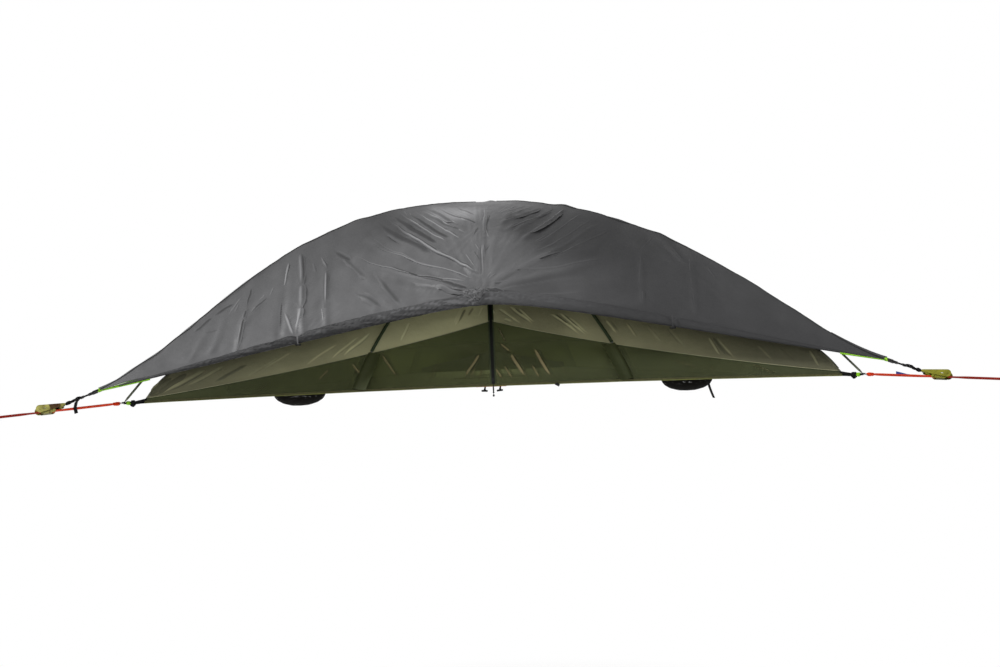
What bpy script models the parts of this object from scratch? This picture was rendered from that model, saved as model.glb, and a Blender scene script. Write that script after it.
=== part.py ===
# A three-person triangular tree tent, slung between three straps, in metres.
# The origin is the middle of the floor, +Z is up and the front edge faces -Y.

import math

import bpy
import bmesh
from mathutils import Matrix, Vector

# Corners: the turn about Z from +X to each corner, and the way its strap line is twisted
CORNERS = {"left": 210, "right": 330, "rear": 90}
TWIST_SIGNS = {"left": 1, "right": -1, "rear": 1}

# Floor
FLOOR_ANCHOR_DISTANCE = 2.37
FLOOR_DRAW_IN = 0.32
FLOOR_TIP_WIDTH = 0.046
FLOOR_THICKNESS = 0.0018
HATCH_RADIUS = 0.30
HATCH_THICKNESS = 0.0018
HATCH_CLEARANCE = 0.0015

# Webbing under the floor
WEB_WIDTH = 0.025
WEB_THICKNESS = 0.002
CROSS_ARM_TO_LOOP = 0.015
HATCH_FRAME_LEDGE = 0.008
TAIL_PLACE = 1.23
TAIL_LENGTH = 0.12
TAIL_WIDTH = 0.014
TAIL_THICKNESS = 0.0016

# Inner tent
CLOTH_THICKNESS = 0.0015
WALL_INSET = 0.004
SEAM_MIDDLE_HEIGHT = 0.367
SEAM_CORNER_HEIGHT = 0.018
SEAM_FALL_POWER = 1.15
CORNER_LINE_SHARE = 0.966
CORNER_LINE_POWER = 1.5
CORNER_DROP_POWER = 24
CORNER_BLEND_POWER = 3
PANEL_SAG_SHARE = 0.05
CANOPY_ROW_SHARES = (0.12, 0.27, 0.43, 0.59, 0.74, 0.88, 1)
EDGE_SHARES = (0.28, 0.54, 0.68, 0.82, 0.93, 1)

# Poles
POLE_FOOT_PLACE = 0.80
POLE_RADIUS = 0.0049
POLE_FLATTEN_SHARE = 0.8
POLE_HUMP_REACH = 0.12
POLE_FOOT_LIFT = 0.012
POLE_STANDOFF = 0.0035

# Rain fly
FLY_TOP = 1.127
FLY_THICKNESS = 0.0018
FLY_BEYOND_FLOOR = 0.19
FLY_DRAW_IN = 0.33
FLY_TIP_WIDTH = 0.022
FLY_TIP_HEIGHT = 0.078
FLY_HEM_HEIGHT = 0.467
FLY_HEM_ROUND_SHARE = 0.12
FLY_RIDGE_BULGE_SHARE = 1.15
FLY_RIDGE_SLACK_SHARES = {"left": -0.45, "right": 0.45, "rear": 0.0}
FLY_MIDDLE_BULGE_SHARE = 0.5
FLY_HEM_ROLL_RADIUS = 0.013
FLY_TIP_ROLL_RADIUS = 0.003
FLY_FOLD_DEPTH = 0.009
FLY_FOLDS = 5
FLY_STATIONS = 18
FLY_ROW_SHARES = (0.1, 0.23, 0.37, 0.5, 0.63, 0.76, 0.88, 1)
FLY_ROLL_TURNS = (60, 120, 180)

# Door on the front edge
ZIP_WIDTH = 0.034
ZIP_THICKNESS = 0.0014
ZIP_STANDOFF = 0.0014
SLIDER_LENGTH = 0.022
SLIDER_WIDTH = 0.014
SLIDER_THICKNESS = 0.006
SLIDER_REST_LIFT = 0.016
PULL_DIAMETER = 0.003
PULL_LENGTH = 0.085
PULL_KNOT_RADIUS = 0.003
PULL_KNOT_SHARE = 0.75
PULL_FRONT_CLEARANCE = 0.004
TOGGLE_PLACE = 0.042
TOGGLE_STEM_RADIUS = 0.0016
TOGGLE_STEM_LENGTH = 0.026
TOGGLE_BAR_RADIUS = 0.003
TOGGLE_BAR_LENGTH = 0.032

# Pouches and the rear pocket
POUCH_FROM_CORNER = 1.035
POUCH_RADIUS = 0.155
POUCH_DEPTH = 0.088
POUCH_THICKNESS = 0.002
POUCH_MOUTH_WIDTH = 0.12
POUCH_MOUTH_HEIGHT = 0.02
POUCH_MOUTH_DROP = 0.006
POUCH_PROFILE_SHARES = ((1, 0), (0.98, 0.25), (0.86, 0.55), (0.66, 0.8), (0.36, 0.95))
POCKET_PLACE = 0.80
POCKET_HEIGHT = 0.13
POCKET_SIDE_HEIGHT = 0.03
POCKET_SIDE_CLEARANCE = 0.05
POCKET_THICKNESS = 0.002

# Corner ring and the loops sewn round it
RING_BEYOND_FLOOR = 0.03
RING_WIRE_RADIUS = 0.00225
RING_BAR_LENGTH = 0.027
RING_BAR_SPACING = 0.022
EYE_CLEARANCE = 0.0006
STRAP_PLY = 0.0015
LOOP_NOSE_TO_RING = 0.115
LOOP_SEWN_LENGTH = 0.13
STAY_WIDTH = 0.010
STAY_THICKNESS = 0.0014
STAY_FOOT_LENGTH = 0.016
STAY_REACH = 0.34
STAY_TOP_LENGTH = 0.020

# Strap line from the ring to the tree
LINE_DROP = 2.4
LINE_TWIST = 25
BOLT_PLACE = 0.368
BOLT_TO_AXLE = 0.072
STRAP_END_LENGTH = 0.024
TREE_STRAP_LENGTH = 0.30
TREE_LOOP_LENGTH = 0.15
TREE_LOOP_HEIGHT = 0.05
TREE_LOOP_NOSE_HEIGHT = 0.012

# Ratchet
AXLE_RADIUS = 0.006
AXLE_SLOT = 0.003
AXLE_CLEARANCE = 0.0004
AXLE_PROUD = 0.002
BODY_INNER_WIDTH = 0.0284
BODY_PLATE = 0.002
BODY_AXLE_RADIUS = 0.0144
BODY_BOLT_RADIUS = 0.011
BODY_BOTTOM_DROP = 0.012
WEB_FRONT_MARGIN = 0.012
BOLT_RADIUS = 0.004
BOLT_HEAD_RADIUS = 0.007
BOLT_HEAD_HEIGHT = 0.0035
WHEEL_THICKNESS = 0.003
WHEEL_GAP = 0.0008
WHEEL_ROOT_RADIUS = 0.0155
WHEEL_TIP_RADIUS = 0.0195
WHEEL_TEETH = 12
TOOTH_LAND_SHARE = 0.4
TOOTH_TIP_SHARE = 0.93
PAWL_THICKNESS = 0.0024
PAWL_SLOT_CLEARANCE = 0.0004
PAWL_NOSE_CLEARANCE = 0.0005
PAWL_TRAVEL = 0.0045
DRIVE_PAWL_LENGTH = 0.012
DRIVE_PAWL_GRIP_WIDTH = 0.022
DRIVE_PAWL_GRIP_LENGTH = 0.020
LOCK_PAWL_LENGTH = 0.018
LOCK_PAWL_ANGLE = 210
HANDLE_GAP = 0.0013
HANDLE_PLATE = 0.002
HANDLE_AXLE_RADIUS = 0.0215
HANDLE_END_RADIUS = 0.007
HANDLE_LENGTH = 0.130
HANDLE_RISE = 0.010
GRIP_BAR_RADIUS = 0.0035
GRIP_THICKNESS = 0.002
GRIP_LIFT = 0.007
GRIP_START = 0.050
FINGER_GAP = 0.013
WOUND_PLY = 0.0016
WOUND_WIDTH = 0.025
WOUND_TURNS = 2.25
WOUND_GAP = 0.00055
WOUND_START_GAP = 0.0006
WOUND_LOOP_POINTS = 24
SLOT_ANGLE = 90

# Fly guy, from the fly's tip to the ratchet handle's grip bar
GUY_WIDTH = 0.020
GUY_THICKNESS = 0.0016
BUCKLE_START = 0.010
BUCKLE_LENGTH = 0.054
BUCKLE_WIDTH = 0.030
BUCKLE_THICKNESS = 0.009
BUCKLE_WAIST_SHARE = 0.74
BUCKLE_END_SHARE = 0.06
BUCKLE_MIDDLE_SHARE = 0.42
BUCKLE_WINDOW_LENGTH = 0.018
BUCKLE_WINDOW_WIDTH = 0.006
LADDER_PLACE = 0.092
LADDER_LENGTH = 0.018
LADDER_WIDTH = 0.026
LADDER_THICKNESS = 0.005
GUY_TAIL_PLACE = 0.122
GUY_TAIL_LENGTH = 0.078
GUY_TAIL_SIDE = 0.0165
HOOK_THICKNESS = 0.003
HOOK_WIDTH = 0.006
HOOK_CLEARANCE = 0.0009
HOOK_LIP = 0.004
HOOK_SHANK = 0.024
HOOK_EYE_LENGTH = 0.014

# Shared
TOUCH_GAP = 0.0003
CUT_OVERRUN = 0.01
ROUND_SIDES = 24
WIRE_SIDES = 8
SMALL_BEVEL = 0.0006
SMOOTH_ANGLE = 40

COS30 = math.cos(math.radians(30))
SIN30 = math.sin(math.radians(30))

for thing in list(bpy.data.objects):
    bpy.data.objects.remove(thing)

# Each corner's ring, loops, stay and fly tip keep their places from the floor's corner.
FLY_ANCHOR_DISTANCE = FLOOR_ANCHOR_DISTANCE + FLY_BEYOND_FLOOR
RING_DISTANCE = FLOOR_ANCHOR_DISTANCE + RING_BEYOND_FLOOR
LOOP_NOSE = RING_DISTANCE - LOOP_NOSE_TO_RING
LOOP_START = LOOP_NOSE - LOOP_SEWN_LENGTH
CROSS_ARM_END = LOOP_START - CROSS_ARM_TO_LOOP
STAY_TOP_DISTANCE = RING_DISTANCE - STAY_REACH
POUCH_DISTANCE = FLOOR_ANCHOR_DISTANCE - POUCH_FROM_CORNER
BASE_WIDTH = BODY_INNER_WIDTH + 2 * BODY_PLATE
WHEEL_INNER = BASE_WIDTH / 2 + WHEEL_GAP
WHEEL_OUTER = WHEEL_INNER + WHEEL_THICKNESS
HANDLE_INNER = WHEEL_OUTER + HANDLE_GAP
HANDLE_OUTER = HANDLE_INNER + HANDLE_PLATE
WOUND_START_RADIUS = AXLE_RADIUS + WOUND_START_GAP + WOUND_PLY / 2
WOUND_END_RADIUS = WOUND_START_RADIUS + (WOUND_PLY + WOUND_GAP) * WOUND_TURNS
AXLE_HEIGHT = WOUND_END_RADIUS + WOUND_PLY + TOUCH_GAP
AXLE_PLACE = BOLT_PLACE + BOLT_TO_AXLE
GRIP_PLACE = Vector((AXLE_PLACE - HANDLE_LENGTH, 0, AXLE_HEIGHT + HANDLE_RISE))
WEB_TOP = -FLOOR_THICKNESS - TOUCH_GAP
WEB_BOTTOM = WEB_TOP - WEB_THICKNESS
# The upper pole's crown touches the fly, and the canopy's top lies under both poles.
CANOPY_TOP = FLY_TOP - FLY_THICKNESS - 4 * POLE_RADIUS - 5 * TOUCH_GAP
WALL_FOOT_HEIGHT = CLOTH_THICKNESS + TOUCH_GAP


# Materials

def material(name, colour, roughness, metallic=0.0):
    made = bpy.data.materials.new(name)
    made.use_nodes = True
    shader = made.node_tree.nodes["Principled BSDF"]
    shader.inputs["Base Color"].default_value = (*colour, 1)
    shader.inputs["Roughness"].default_value = roughness
    shader.inputs["Metallic"].default_value = metallic
    made.diffuse_color = (*colour, 1)
    return made


FINISHES = {
    "fly_cloth": material("fly_cloth", (0.10, 0.10, 0.105), 0.55),
    "canopy_cloth": material("canopy_cloth", (0.13, 0.125, 0.075), 0.7),
    "wall_cloth": material("wall_cloth", (0.045, 0.052, 0.02), 0.7),
    "floor_cloth": material("floor_cloth", (0.05, 0.055, 0.03), 0.75),
    "black_webbing": material("black_webbing", (0.012, 0.012, 0.012), 0.8),
    "grey_tape": material("grey_tape", (0.12, 0.12, 0.09), 0.8),
    "orange_webbing": material("orange_webbing", (0.62, 0.06, 0.015), 0.75),
    "mesh_cloth": material("mesh_cloth", (0.02, 0.02, 0.02), 0.85),
    "black_plastic": material("black_plastic", (0.015, 0.015, 0.015), 0.45),
    "zip_tape": material("zip_tape", (0.02, 0.024, 0.016), 0.8),
    "zinc_plate": material("zinc_plate", (0.44, 0.40, 0.14), 0.35, 1.0),
    "bare_steel": material("bare_steel", (0.45, 0.45, 0.44), 0.35, 1.0),
    "pole_alloy": material("pole_alloy", (0.30, 0.31, 0.32), 0.3, 1.0),
}


# Mesh helpers

def mesh_from(name, points, faces):
    mesh = bpy.data.meshes.new(name)
    mesh.from_pydata([tuple(point) for point in points], [], faces)
    work = bmesh.new()
    work.from_mesh(mesh)
    bmesh.ops.recalc_face_normals(work, faces=work.faces)
    work.to_mesh(mesh)
    work.free()
    return mesh


def put(name, mesh, finish, parent=None, matrix=None):
    shown = bpy.data.objects.new(name, mesh)
    bpy.context.scene.collection.objects.link(shown)
    if not mesh.materials:
        mesh.materials.append(FINISHES[finish])
    mesh.shade_smooth()
    mesh.set_sharp_from_angle(angle=math.radians(SMOOTH_ANGLE))
    if parent:
        shown.parent = parent
    if matrix:
        shown.matrix_local = matrix
    return shown


def empty(name, parent, matrix):
    made = bpy.data.objects.new(name, None)
    bpy.context.scene.collection.objects.link(made)
    made.parent = parent
    made.matrix_local = matrix
    return made


def solidified(mesh, thickness, offset):
    """A sheet given its thickness: offset -1 grows it away from its normals, 1 along them."""
    shape = bpy.data.objects.new(mesh.name, mesh)
    bpy.context.scene.collection.objects.link(shape)
    wall = shape.modifiers.new("wall", "SOLIDIFY")
    wall.thickness = thickness
    wall.offset = offset
    wall.use_even_offset = True
    return baked(shape)


def baked(shape):
    """The mesh that the object's modifiers make; the object itself is removed."""
    bpy.context.view_layer.update()
    graph = bpy.context.evaluated_depsgraph_get()
    mesh = bpy.data.meshes.new_from_object(shape.evaluated_get(graph))
    mesh.name = shape.name
    bpy.data.objects.remove(shape)
    return mesh


def combined(name, base, others, operation):
    """The base mesh with the others joined to it or cut from it, one after another."""
    shape = bpy.data.objects.new(name, base)
    bpy.context.scene.collection.objects.link(shape)
    tools = []
    for index, other in enumerate(others):
        tool = bpy.data.objects.new(f"{name}_tool_{index}", other)
        bpy.context.scene.collection.objects.link(tool)
        tool.hide_render = True
        tool.display_type = "WIRE"
        step = shape.modifiers.new(f"step_{index}", "BOOLEAN")
        step.operation = operation
        step.solver = "EXACT"
        step.object = tool
        tools.append(tool)
    mesh = baked(shape)
    for tool in tools:
        bpy.data.objects.remove(tool)
    return mesh


def joined(name, base, *others):
    return combined(name, base, others, "UNION")


def cut(name, base, *others):
    return combined(name, base, others, "DIFFERENCE")


def moved(mesh, matrix):
    copy = mesh.copy()
    copy.transform(matrix)
    return copy


def box(name, low, high):
    points = [(x, y, z) for x in (low[0], high[0]) for y in (low[1], high[1]) for z in (low[2], high[2])]
    faces = [(0, 1, 3, 2), (4, 6, 7, 5), (0, 4, 5, 1), (2, 3, 7, 6), (0, 2, 6, 4), (1, 5, 7, 3)]
    return mesh_from(name, points, faces)


def cylinder(name, radius, low, high, place=(0, 0), sides=ROUND_SIDES):
    """A round bar along Y, from low to high, its middle at place in X and Z."""
    turn = 2 * math.pi / sides
    outline = [(place[0] + radius * math.cos((i + 0.5) * turn), place[1] + radius * math.sin((i + 0.5) * turn))
               for i in range(sides)]
    return plate(name, outline, low, high)


def plate(name, outline, low, high):
    """A flat plate across Y, from low to high, with its outline in X and Z."""
    count = len(outline)
    points = [(x, low, z) for x, z in outline] + [(x, high, z) for x, z in outline]
    faces = [tuple(range(count)), tuple(range(2 * count - 1, count - 1, -1))]
    faces += [(i, i + count, (i + 1) % count + count, (i + 1) % count) for i in range(count)]
    return mesh_from(name, points, faces)


def slab(name, outline, low, high):
    """A flat sheet between two heights, with its outline in X and Y."""
    count = len(outline)
    points = [(x, y, low) for x, y in outline] + [(x, y, high) for x, y in outline]
    faces = [tuple(range(count)), tuple(range(2 * count - 1, count - 1, -1))]
    faces += [(i, i + count, (i + 1) % count + count, (i + 1) % count) for i in range(count)]
    return mesh_from(name, points, faces)


def arc(centre, radius, start, stop, count):
    """Points on an arc in X and Z, from start to stop in degrees."""
    turns = [math.radians(start + (stop - start) * i / count) for i in range(count + 1)]
    return [(centre[0] + radius * math.cos(a), centre[1] + radius * math.sin(a)) for a in turns]


def link_outline(first, first_radius, second, second_radius, count):
    """Two round ends of unlike radius with straight sides between them; first lies at larger X."""
    lean = math.atan2(second[1] - first[1], first[0] - second[0])
    gap = math.hypot(first[0] - second[0], first[1] - second[1])
    flare = math.degrees(math.asin((first_radius - second_radius) / gap))
    tilt = math.degrees(-lean)
    return (arc(first, first_radius, -90 - flare + tilt, 90 + flare + tilt, count)
            + arc(second, second_radius, 90 + flare + tilt, 270 - flare + tilt, count // 2))


def strip(name, path, width, thickness, twists=None):
    """A flat band along a path in the X-Z plane, its width across Y, twisted by so many degrees at each point."""
    points, faces = [], []
    for index, place in enumerate(path):
        before = path[max(index - 1, 0)]
        after = path[min(index + 1, len(path) - 1)]
        into = Vector((place[0] - before[0], 0, place[1] - before[1]))
        out = Vector((after[0] - place[0], 0, after[1] - place[1]))
        into, out = into or out, out or into
        along = (into.normalized() + out.normalized()).normalized()
        mitre = max(along.dot(out.normalized()), SIN30)
        up = Vector((-along.z, 0, along.x)) * (thickness / 2 / mitre)
        side = Vector((0, width / 2, 0))
        spin = Matrix.Rotation(math.radians(twists[index]) if twists else 0, 3, along)
        middle = Vector((place[0], 0, place[1]))
        points += [middle + spin @ (a * side + b * up) for a, b in ((-1, -1), (1, -1), (1, 1), (-1, 1))]
    for index in range(len(path) - 1):
        start = 4 * index
        faces += [(start + i, start + (i + 1) % 4, start + (i + 1) % 4 + 4, start + i + 4) for i in range(4)]
    last = 4 * (len(path) - 1)
    faces += [(3, 2, 1, 0), (last, last + 1, last + 2, last + 3)]
    return mesh_from(name, points, faces)


def rings_mesh(name, rings, apex=None):
    """Faces between loops of points that run the same way round, from the inner loop out."""
    count = len(rings[0])
    points = [point for ring in rings for point in ring]
    faces = []
    for row in range(len(rings) - 1):
        for i in range(count):
            j = (i + 1) % count
            faces.append((row * count + i, (row + 1) * count + i, (row + 1) * count + j, row * count + j))
    if apex:
        points.append(apex)
        faces += [(len(points) - 1, i, (i + 1) % count) for i in range(count)]
    mesh = bpy.data.meshes.new(name)
    mesh.from_pydata([tuple(point) for point in points], [], faces)
    return mesh


def tube(name, points, radius, finish, sizes=None):
    curve = bpy.data.curves.new(name, "CURVE")
    curve.dimensions = "3D"
    curve.bevel_depth = radius
    curve.bevel_resolution = 2
    curve.use_fill_caps = True
    line = curve.splines.new("POLY")
    line.points.add(len(points) - 1)
    for index, point in enumerate(points):
        line.points[index].co = (*point, 1)
        line.points[index].radius = sizes[index] if sizes else 1
    curve.materials.append(FINISHES[finish])
    shown = bpy.data.objects.new(name, curve)
    bpy.context.scene.collection.objects.link(shown)
    return shown


def solve(function, low, high):
    """The place between low and high where the function crosses zero."""
    rising = function(high) > function(low)
    for _ in range(60):
        middle = (low + high) / 2
        if (function(middle) > 0) == rising:
            high = middle
        else:
            low = middle
    return (low + high) / 2


# Outlines: each edge curves in between two corners, and each corner is cut off square

def turned(point, degrees):
    a = math.radians(degrees)
    rest = tuple(point[2:])
    return (point[0] * math.cos(a) - point[1] * math.sin(a), point[0] * math.sin(a) + point[1] * math.cos(a), *rest)


def edge_line(x, anchor, draw_in):
    return -anchor * SIN30 + draw_in * (1 - (x / (anchor * COS30)) ** 2)


def corner_half_width(x, y):
    return -(COS30 * y + SIN30 * x)


def edge_end(anchor, draw_in, tip_width):
    return solve(lambda x: corner_half_width(x, edge_line(x, anchor, draw_in)) - tip_width / 2, 0, anchor * COS30)


def edge_outline(anchor, draw_in, tip_width, shares):
    """The three edges as one loop of points in X and Y, from the left corner round."""
    end = edge_end(anchor, draw_in, tip_width)
    edge = [(share * end, edge_line(share * end, anchor, draw_in)) for share in shares]
    return [turned(point, 120 * side) for side in range(3) for point in edge]


FLOOR_END = edge_end(FLOOR_ANCHOR_DISTANCE, FLOOR_DRAW_IN, FLOOR_TIP_WIDTH)
FOOT_Y = edge_line(POLE_FOOT_PLACE, FLOOR_ANCHOR_DISTANCE, FLOOR_DRAW_IN)
FOOT_TURN = math.degrees(math.atan2(-FOOT_Y, POLE_FOOT_PLACE)) - 120
REAR_FOOT_PLACE = solve(
    lambda x: math.degrees(math.atan2(edge_line(x, FLOOR_ANCHOR_DISTANCE, FLOOR_DRAW_IN), x)) - FOOT_TURN,
    0, POLE_FOOT_PLACE)
FRONT_FOOT_SHARE = POLE_FOOT_PLACE / FLOOR_END
REAR_FOOT_SHARE = REAR_FOOT_PLACE / FLOOR_END
HALF_SHARES = sorted((*EDGE_SHARES, FRONT_FOOT_SHARE, REAR_FOOT_SHARE))
FLOOR_SHARES = [-share for share in reversed(HALF_SHARES)] + [0] + HALF_SHARES
POLE_SHARES = ((-FRONT_FOOT_SHARE, FRONT_FOOT_SHARE), (REAR_FOOT_SHARE,), (-REAR_FOOT_SHARE,))


# Inner tent: the height over each point of the floor, along lines from the middle to the edge

def panel_sag(side, share):
    lines = [-1, *POLE_SHARES[side], 1]
    for low, high in zip(lines, lines[1:]):
        if low <= share <= high:
            return PANEL_SAG_SHARE * math.sin(math.pi * (share - low) / (high - low))
    return 0


def arch_share(out):
    square = out * out
    return (1 - square) * (1 - POLE_FLATTEN_SHARE * square * (1 - square))


def canopy_height(side, share, out):
    corner = (1 - (CORNER_LINE_SHARE * out) ** CORNER_LINE_POWER) * (1 - out ** CORNER_DROP_POWER)
    blend = abs(share) ** CORNER_BLEND_POWER
    height = arch_share(out) * (1 - blend) + corner * blend
    return CANOPY_TOP * height * (1 - 4 * out * (1 - out) * panel_sag(side, share))


def seam_height(share):
    return SEAM_CORNER_HEIGHT + (SEAM_MIDDLE_HEIGHT - SEAM_CORNER_HEIGHT) * (1 - abs(share)) ** SEAM_FALL_POWER


def seam_out(side, share):
    return solve(lambda out: canopy_height(side, share, out) - seam_height(share), SIN30, 1)


def foot_point(side, share):
    x = share * FLOOR_END
    point = Vector((x, edge_line(x, FLOOR_ANCHOR_DISTANCE, FLOOR_DRAW_IN)))
    point *= 1 - WALL_INSET / point.length
    return Vector(turned(point, 120 * side))


def inner_row(place):
    """A loop round the tent: place gives the share of the way out and the height at each side and share."""
    ring = []
    for side in range(3):
        for share in FLOOR_SHARES:
            out, height = place(side, share)
            foot = foot_point(side, share)
            ring.append(Vector((foot.x * out, foot.y * out, height)))
    return ring


def wall_top(side, share):
    """The lower cloth starts under the seam, a little further down at the corners, where the two meet at an angle."""
    seam = Vector((seam_out(side, share), seam_height(share)))
    foot = Vector((1, WALL_FOOT_HEIGHT))
    drop = 2 * TOUCH_GAP + CLOTH_THICKNESS * share * share
    return tuple(seam.lerp(foot, drop / (seam.y - foot.y)))


def make_inner_tent():
    rows = []
    for row_share in CANOPY_ROW_SHARES:
        def place(side, share, row_share=row_share):
            out = seam_out(side, share) * row_share
            return out, canopy_height(side, share, out)
        rows.append(inner_row(place))
    mesh = rings_mesh("inner_canopy", rows, Vector((0, 0, CANOPY_TOP)))
    put("inner_canopy", solidified(mesh, CLOTH_THICKNESS, -1), "canopy_cloth")

    low = inner_row(lambda side, share: (1, WALL_FOOT_HEIGHT))
    high = inner_row(wall_top)
    half = [(a + b) / 2 for a, b in zip(low, high)]
    mesh = rings_mesh("inner_wall", [high, half, low])
    put("inner_wall", solidified(mesh, CLOTH_THICKNESS, -1), "wall_cloth")


# Poles: each follows the canopy under it, from a front foot over the middle to the far side's foot

def half_line(side, share):
    """Distance and height down the tent from the middle, at one share of the edge, to the floor."""
    foot = foot_point(side, share)
    seam = seam_out(side, share)
    line = [(0, CANOPY_TOP)]
    line += [(foot.length * seam * row, canopy_height(side, share, seam * row)) for row in CANOPY_ROW_SHARES]
    return line + [(foot.length, WALL_FOOT_HEIGHT)], foot.normalized()


def outward(line, gap, more=0.0):
    """The line moved off the cloth by a gap, square to it, with some more towards its foot."""
    moved_line = []
    for index, (out, height) in enumerate(line):
        before = line[index - 1] if index else (-line[1][0], line[1][1])
        after = line[index + 1] if index + 1 < len(line) else None
        into = Vector((out - before[0], height - before[1])).normalized()
        away = Vector((after[0] - out, after[1] - height)).normalized() if after else into
        along = (into + away).normalized()
        reach = (gap + more * index / (len(line) - 1)) / along.dot(away)
        moved_line.append((out - along.y * reach, height + along.x * reach))
    return moved_line


def make_pole(name, front_share, rear_side, rear_share, lift):
    points = []
    for side, share in ((0, front_share), (rear_side, rear_share)):
        line, way = half_line(side, share)
        line = outward(line, POLE_RADIUS + 2 * TOUCH_GAP, POLE_STANDOFF)
        end = Vector(line[-1])
        back = Vector(line[-2])
        line[-1] = tuple(end + (back - end).normalized() * POLE_FOOT_LIFT)
        hump = [(out, height + lift * math.exp(-(out / POLE_HUMP_REACH) ** 2)) for out, height in line]
        half = [Vector((way.x * out, way.y * out, height)) for out, height in hump]
        points = half[:0:-1] + [half[0]] if not points else points + half[1:]
    tube(name, points, POLE_RADIUS, "pole_alloy")


def make_poles():
    # The second pole rides over the first where they cross.
    make_pole("pole_front_left", -FRONT_FOOT_SHARE, 1, REAR_FOOT_SHARE, 0)
    make_pole("pole_front_right", FRONT_FOOT_SHARE, 2, -REAR_FOOT_SHARE, 2 * POLE_RADIUS + TOUCH_GAP)


# Floor, its hatch and the webbing under it

def triangle(radius):
    return [(radius * math.cos(math.radians(a)), radius * math.sin(math.radians(a))) for a in CORNERS.values()]


def make_floor():
    outline = edge_outline(FLOOR_ANCHOR_DISTANCE, FLOOR_DRAW_IN, FLOOR_TIP_WIDTH, FLOOR_SHARES)
    sheet = slab("floor", outline, -FLOOR_THICKNESS, 0)
    hole = slab("hatch_hole", triangle(HATCH_RADIUS), -CUT_OVERRUN, CUT_OVERRUN)
    put("floor", cut("floor", sheet, hole), "floor_cloth")

    flap_radius = HATCH_RADIUS - 2 * HATCH_CLEARANCE
    hinge_y = -flap_radius * SIN30
    flap = slab("hatch_flap", [(x, y - hinge_y) for x, y in triangle(flap_radius)], -HATCH_THICKNESS, 0)
    put("hatch_flap", flap, "floor_cloth", matrix=Matrix.Translation((0, hinge_y, 0)))

    inner = []
    for side in range(3):
        edge = []
        for share in FLOOR_SHARES:
            x = share * FLOOR_END
            y = edge_line(x, FLOOR_ANCHOR_DISTANCE, FLOOR_DRAW_IN) + WEB_WIDTH
            if corner_half_width(abs(x), y) > 0:
                edge.append((x, y))
        end = solve(lambda x: corner_half_width(x, edge_line(x, FLOOR_ANCHOR_DISTANCE, FLOOR_DRAW_IN) + WEB_WIDTH),
                    0, FLOOR_ANCHOR_DISTANCE)
        edge.append((end, edge_line(end, FLOOR_ANCHOR_DISTANCE, FLOOR_DRAW_IN) + WEB_WIDTH))
        inner += [turned(point, 120 * side) for point in edge]
    band = slab("edge_webbing", outline, WEB_BOTTOM, WEB_TOP)
    middle = slab("edge_middle", inner, -CUT_OVERRUN, CUT_OVERRUN)
    tail_y = edge_line(TAIL_PLACE, FLOOR_ANCHOR_DISTANCE, FLOOR_DRAW_IN) + WEB_WIDTH / 2
    tail_top = (WEB_TOP + WEB_BOTTOM) / 2
    tail = box("strap_tail", (TAIL_PLACE - TAIL_WIDTH / 2, tail_y - TAIL_THICKNESS / 2, tail_top - TAIL_LENGTH),
               (TAIL_PLACE + TAIL_WIDTH / 2, tail_y + TAIL_THICKNESS / 2, tail_top))
    put("edge_webbing", joined("edge_webbing", cut("edge_webbing", band, middle), tail), "black_webbing")

    # Three arms and the triangle that frames the hatch, as one sewn piece
    frame_radius = HATCH_RADIUS + 2 * WEB_WIDTH - 2 * HATCH_FRAME_LEDGE
    shoulder = frame_radius - WEB_WIDTH / 2 / math.tan(math.radians(30))
    arm = [(shoulder, -WEB_WIDTH / 2), (CROSS_ARM_END, -WEB_WIDTH / 2), (CROSS_ARM_END, WEB_WIDTH / 2),
           (shoulder, WEB_WIDTH / 2)]
    star = [turned(point, 120 * side - 30) for side in range(3) for point in arm]
    arms = slab("floor_cross_webbing", star, WEB_BOTTOM, WEB_TOP)
    window = slab("window", triangle(HATCH_RADIUS - 2 * HATCH_FRAME_LEDGE), -CUT_OVERRUN, CUT_OVERRUN)
    put("floor_cross_webbing", cut("floor_cross_webbing", arms, window), "black_webbing")


# Rain fly: heights along lines from the middle to the hem, and the hem rolled under

FLY_END = edge_end(FLY_ANCHOR_DISTANCE, FLY_DRAW_IN, FLY_TIP_WIDTH)
FLY_TIP_DISTANCE = math.hypot(FLY_END, edge_line(FLY_END, FLY_ANCHOR_DISTANCE, FLY_DRAW_IN))


def fly_hem_height(share):
    rounded = math.hypot(share, FLY_HEM_ROUND_SHARE) - FLY_HEM_ROUND_SHARE
    full = math.hypot(1, FLY_HEM_ROUND_SHARE) - FLY_HEM_ROUND_SHARE
    return FLY_HEM_HEIGHT - (FLY_HEM_HEIGHT - FLY_TIP_HEIGHT) * rounded / full


def fly_roll_radius(share):
    return FLY_TIP_ROLL_RADIUS + (FLY_HEM_ROLL_RADIUS - FLY_TIP_ROLL_RADIUS) * (1 - share ** 4)


def fly_height(share, out, slack=0.0):
    ridge = 1 - out ** 2 * (1 + FLY_RIDGE_BULGE_SHARE * out ** 3 * (1 - out) + slack * (1 - out) ** 2)
    middle = 1 - out ** 2 * (1 + FLY_MIDDLE_BULGE_SHARE * (1 - out))
    blend = share * share
    base = fly_hem_height(share) + fly_roll_radius(share)
    fold = FLY_FOLD_DEPTH * math.cos(2 * math.pi * FLY_FOLDS * share) * (1 - blend) * out ** 2 * (1 - out)
    return base + (FLY_TOP - base) * (ridge * blend + middle * (1 - blend)) + fold


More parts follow.
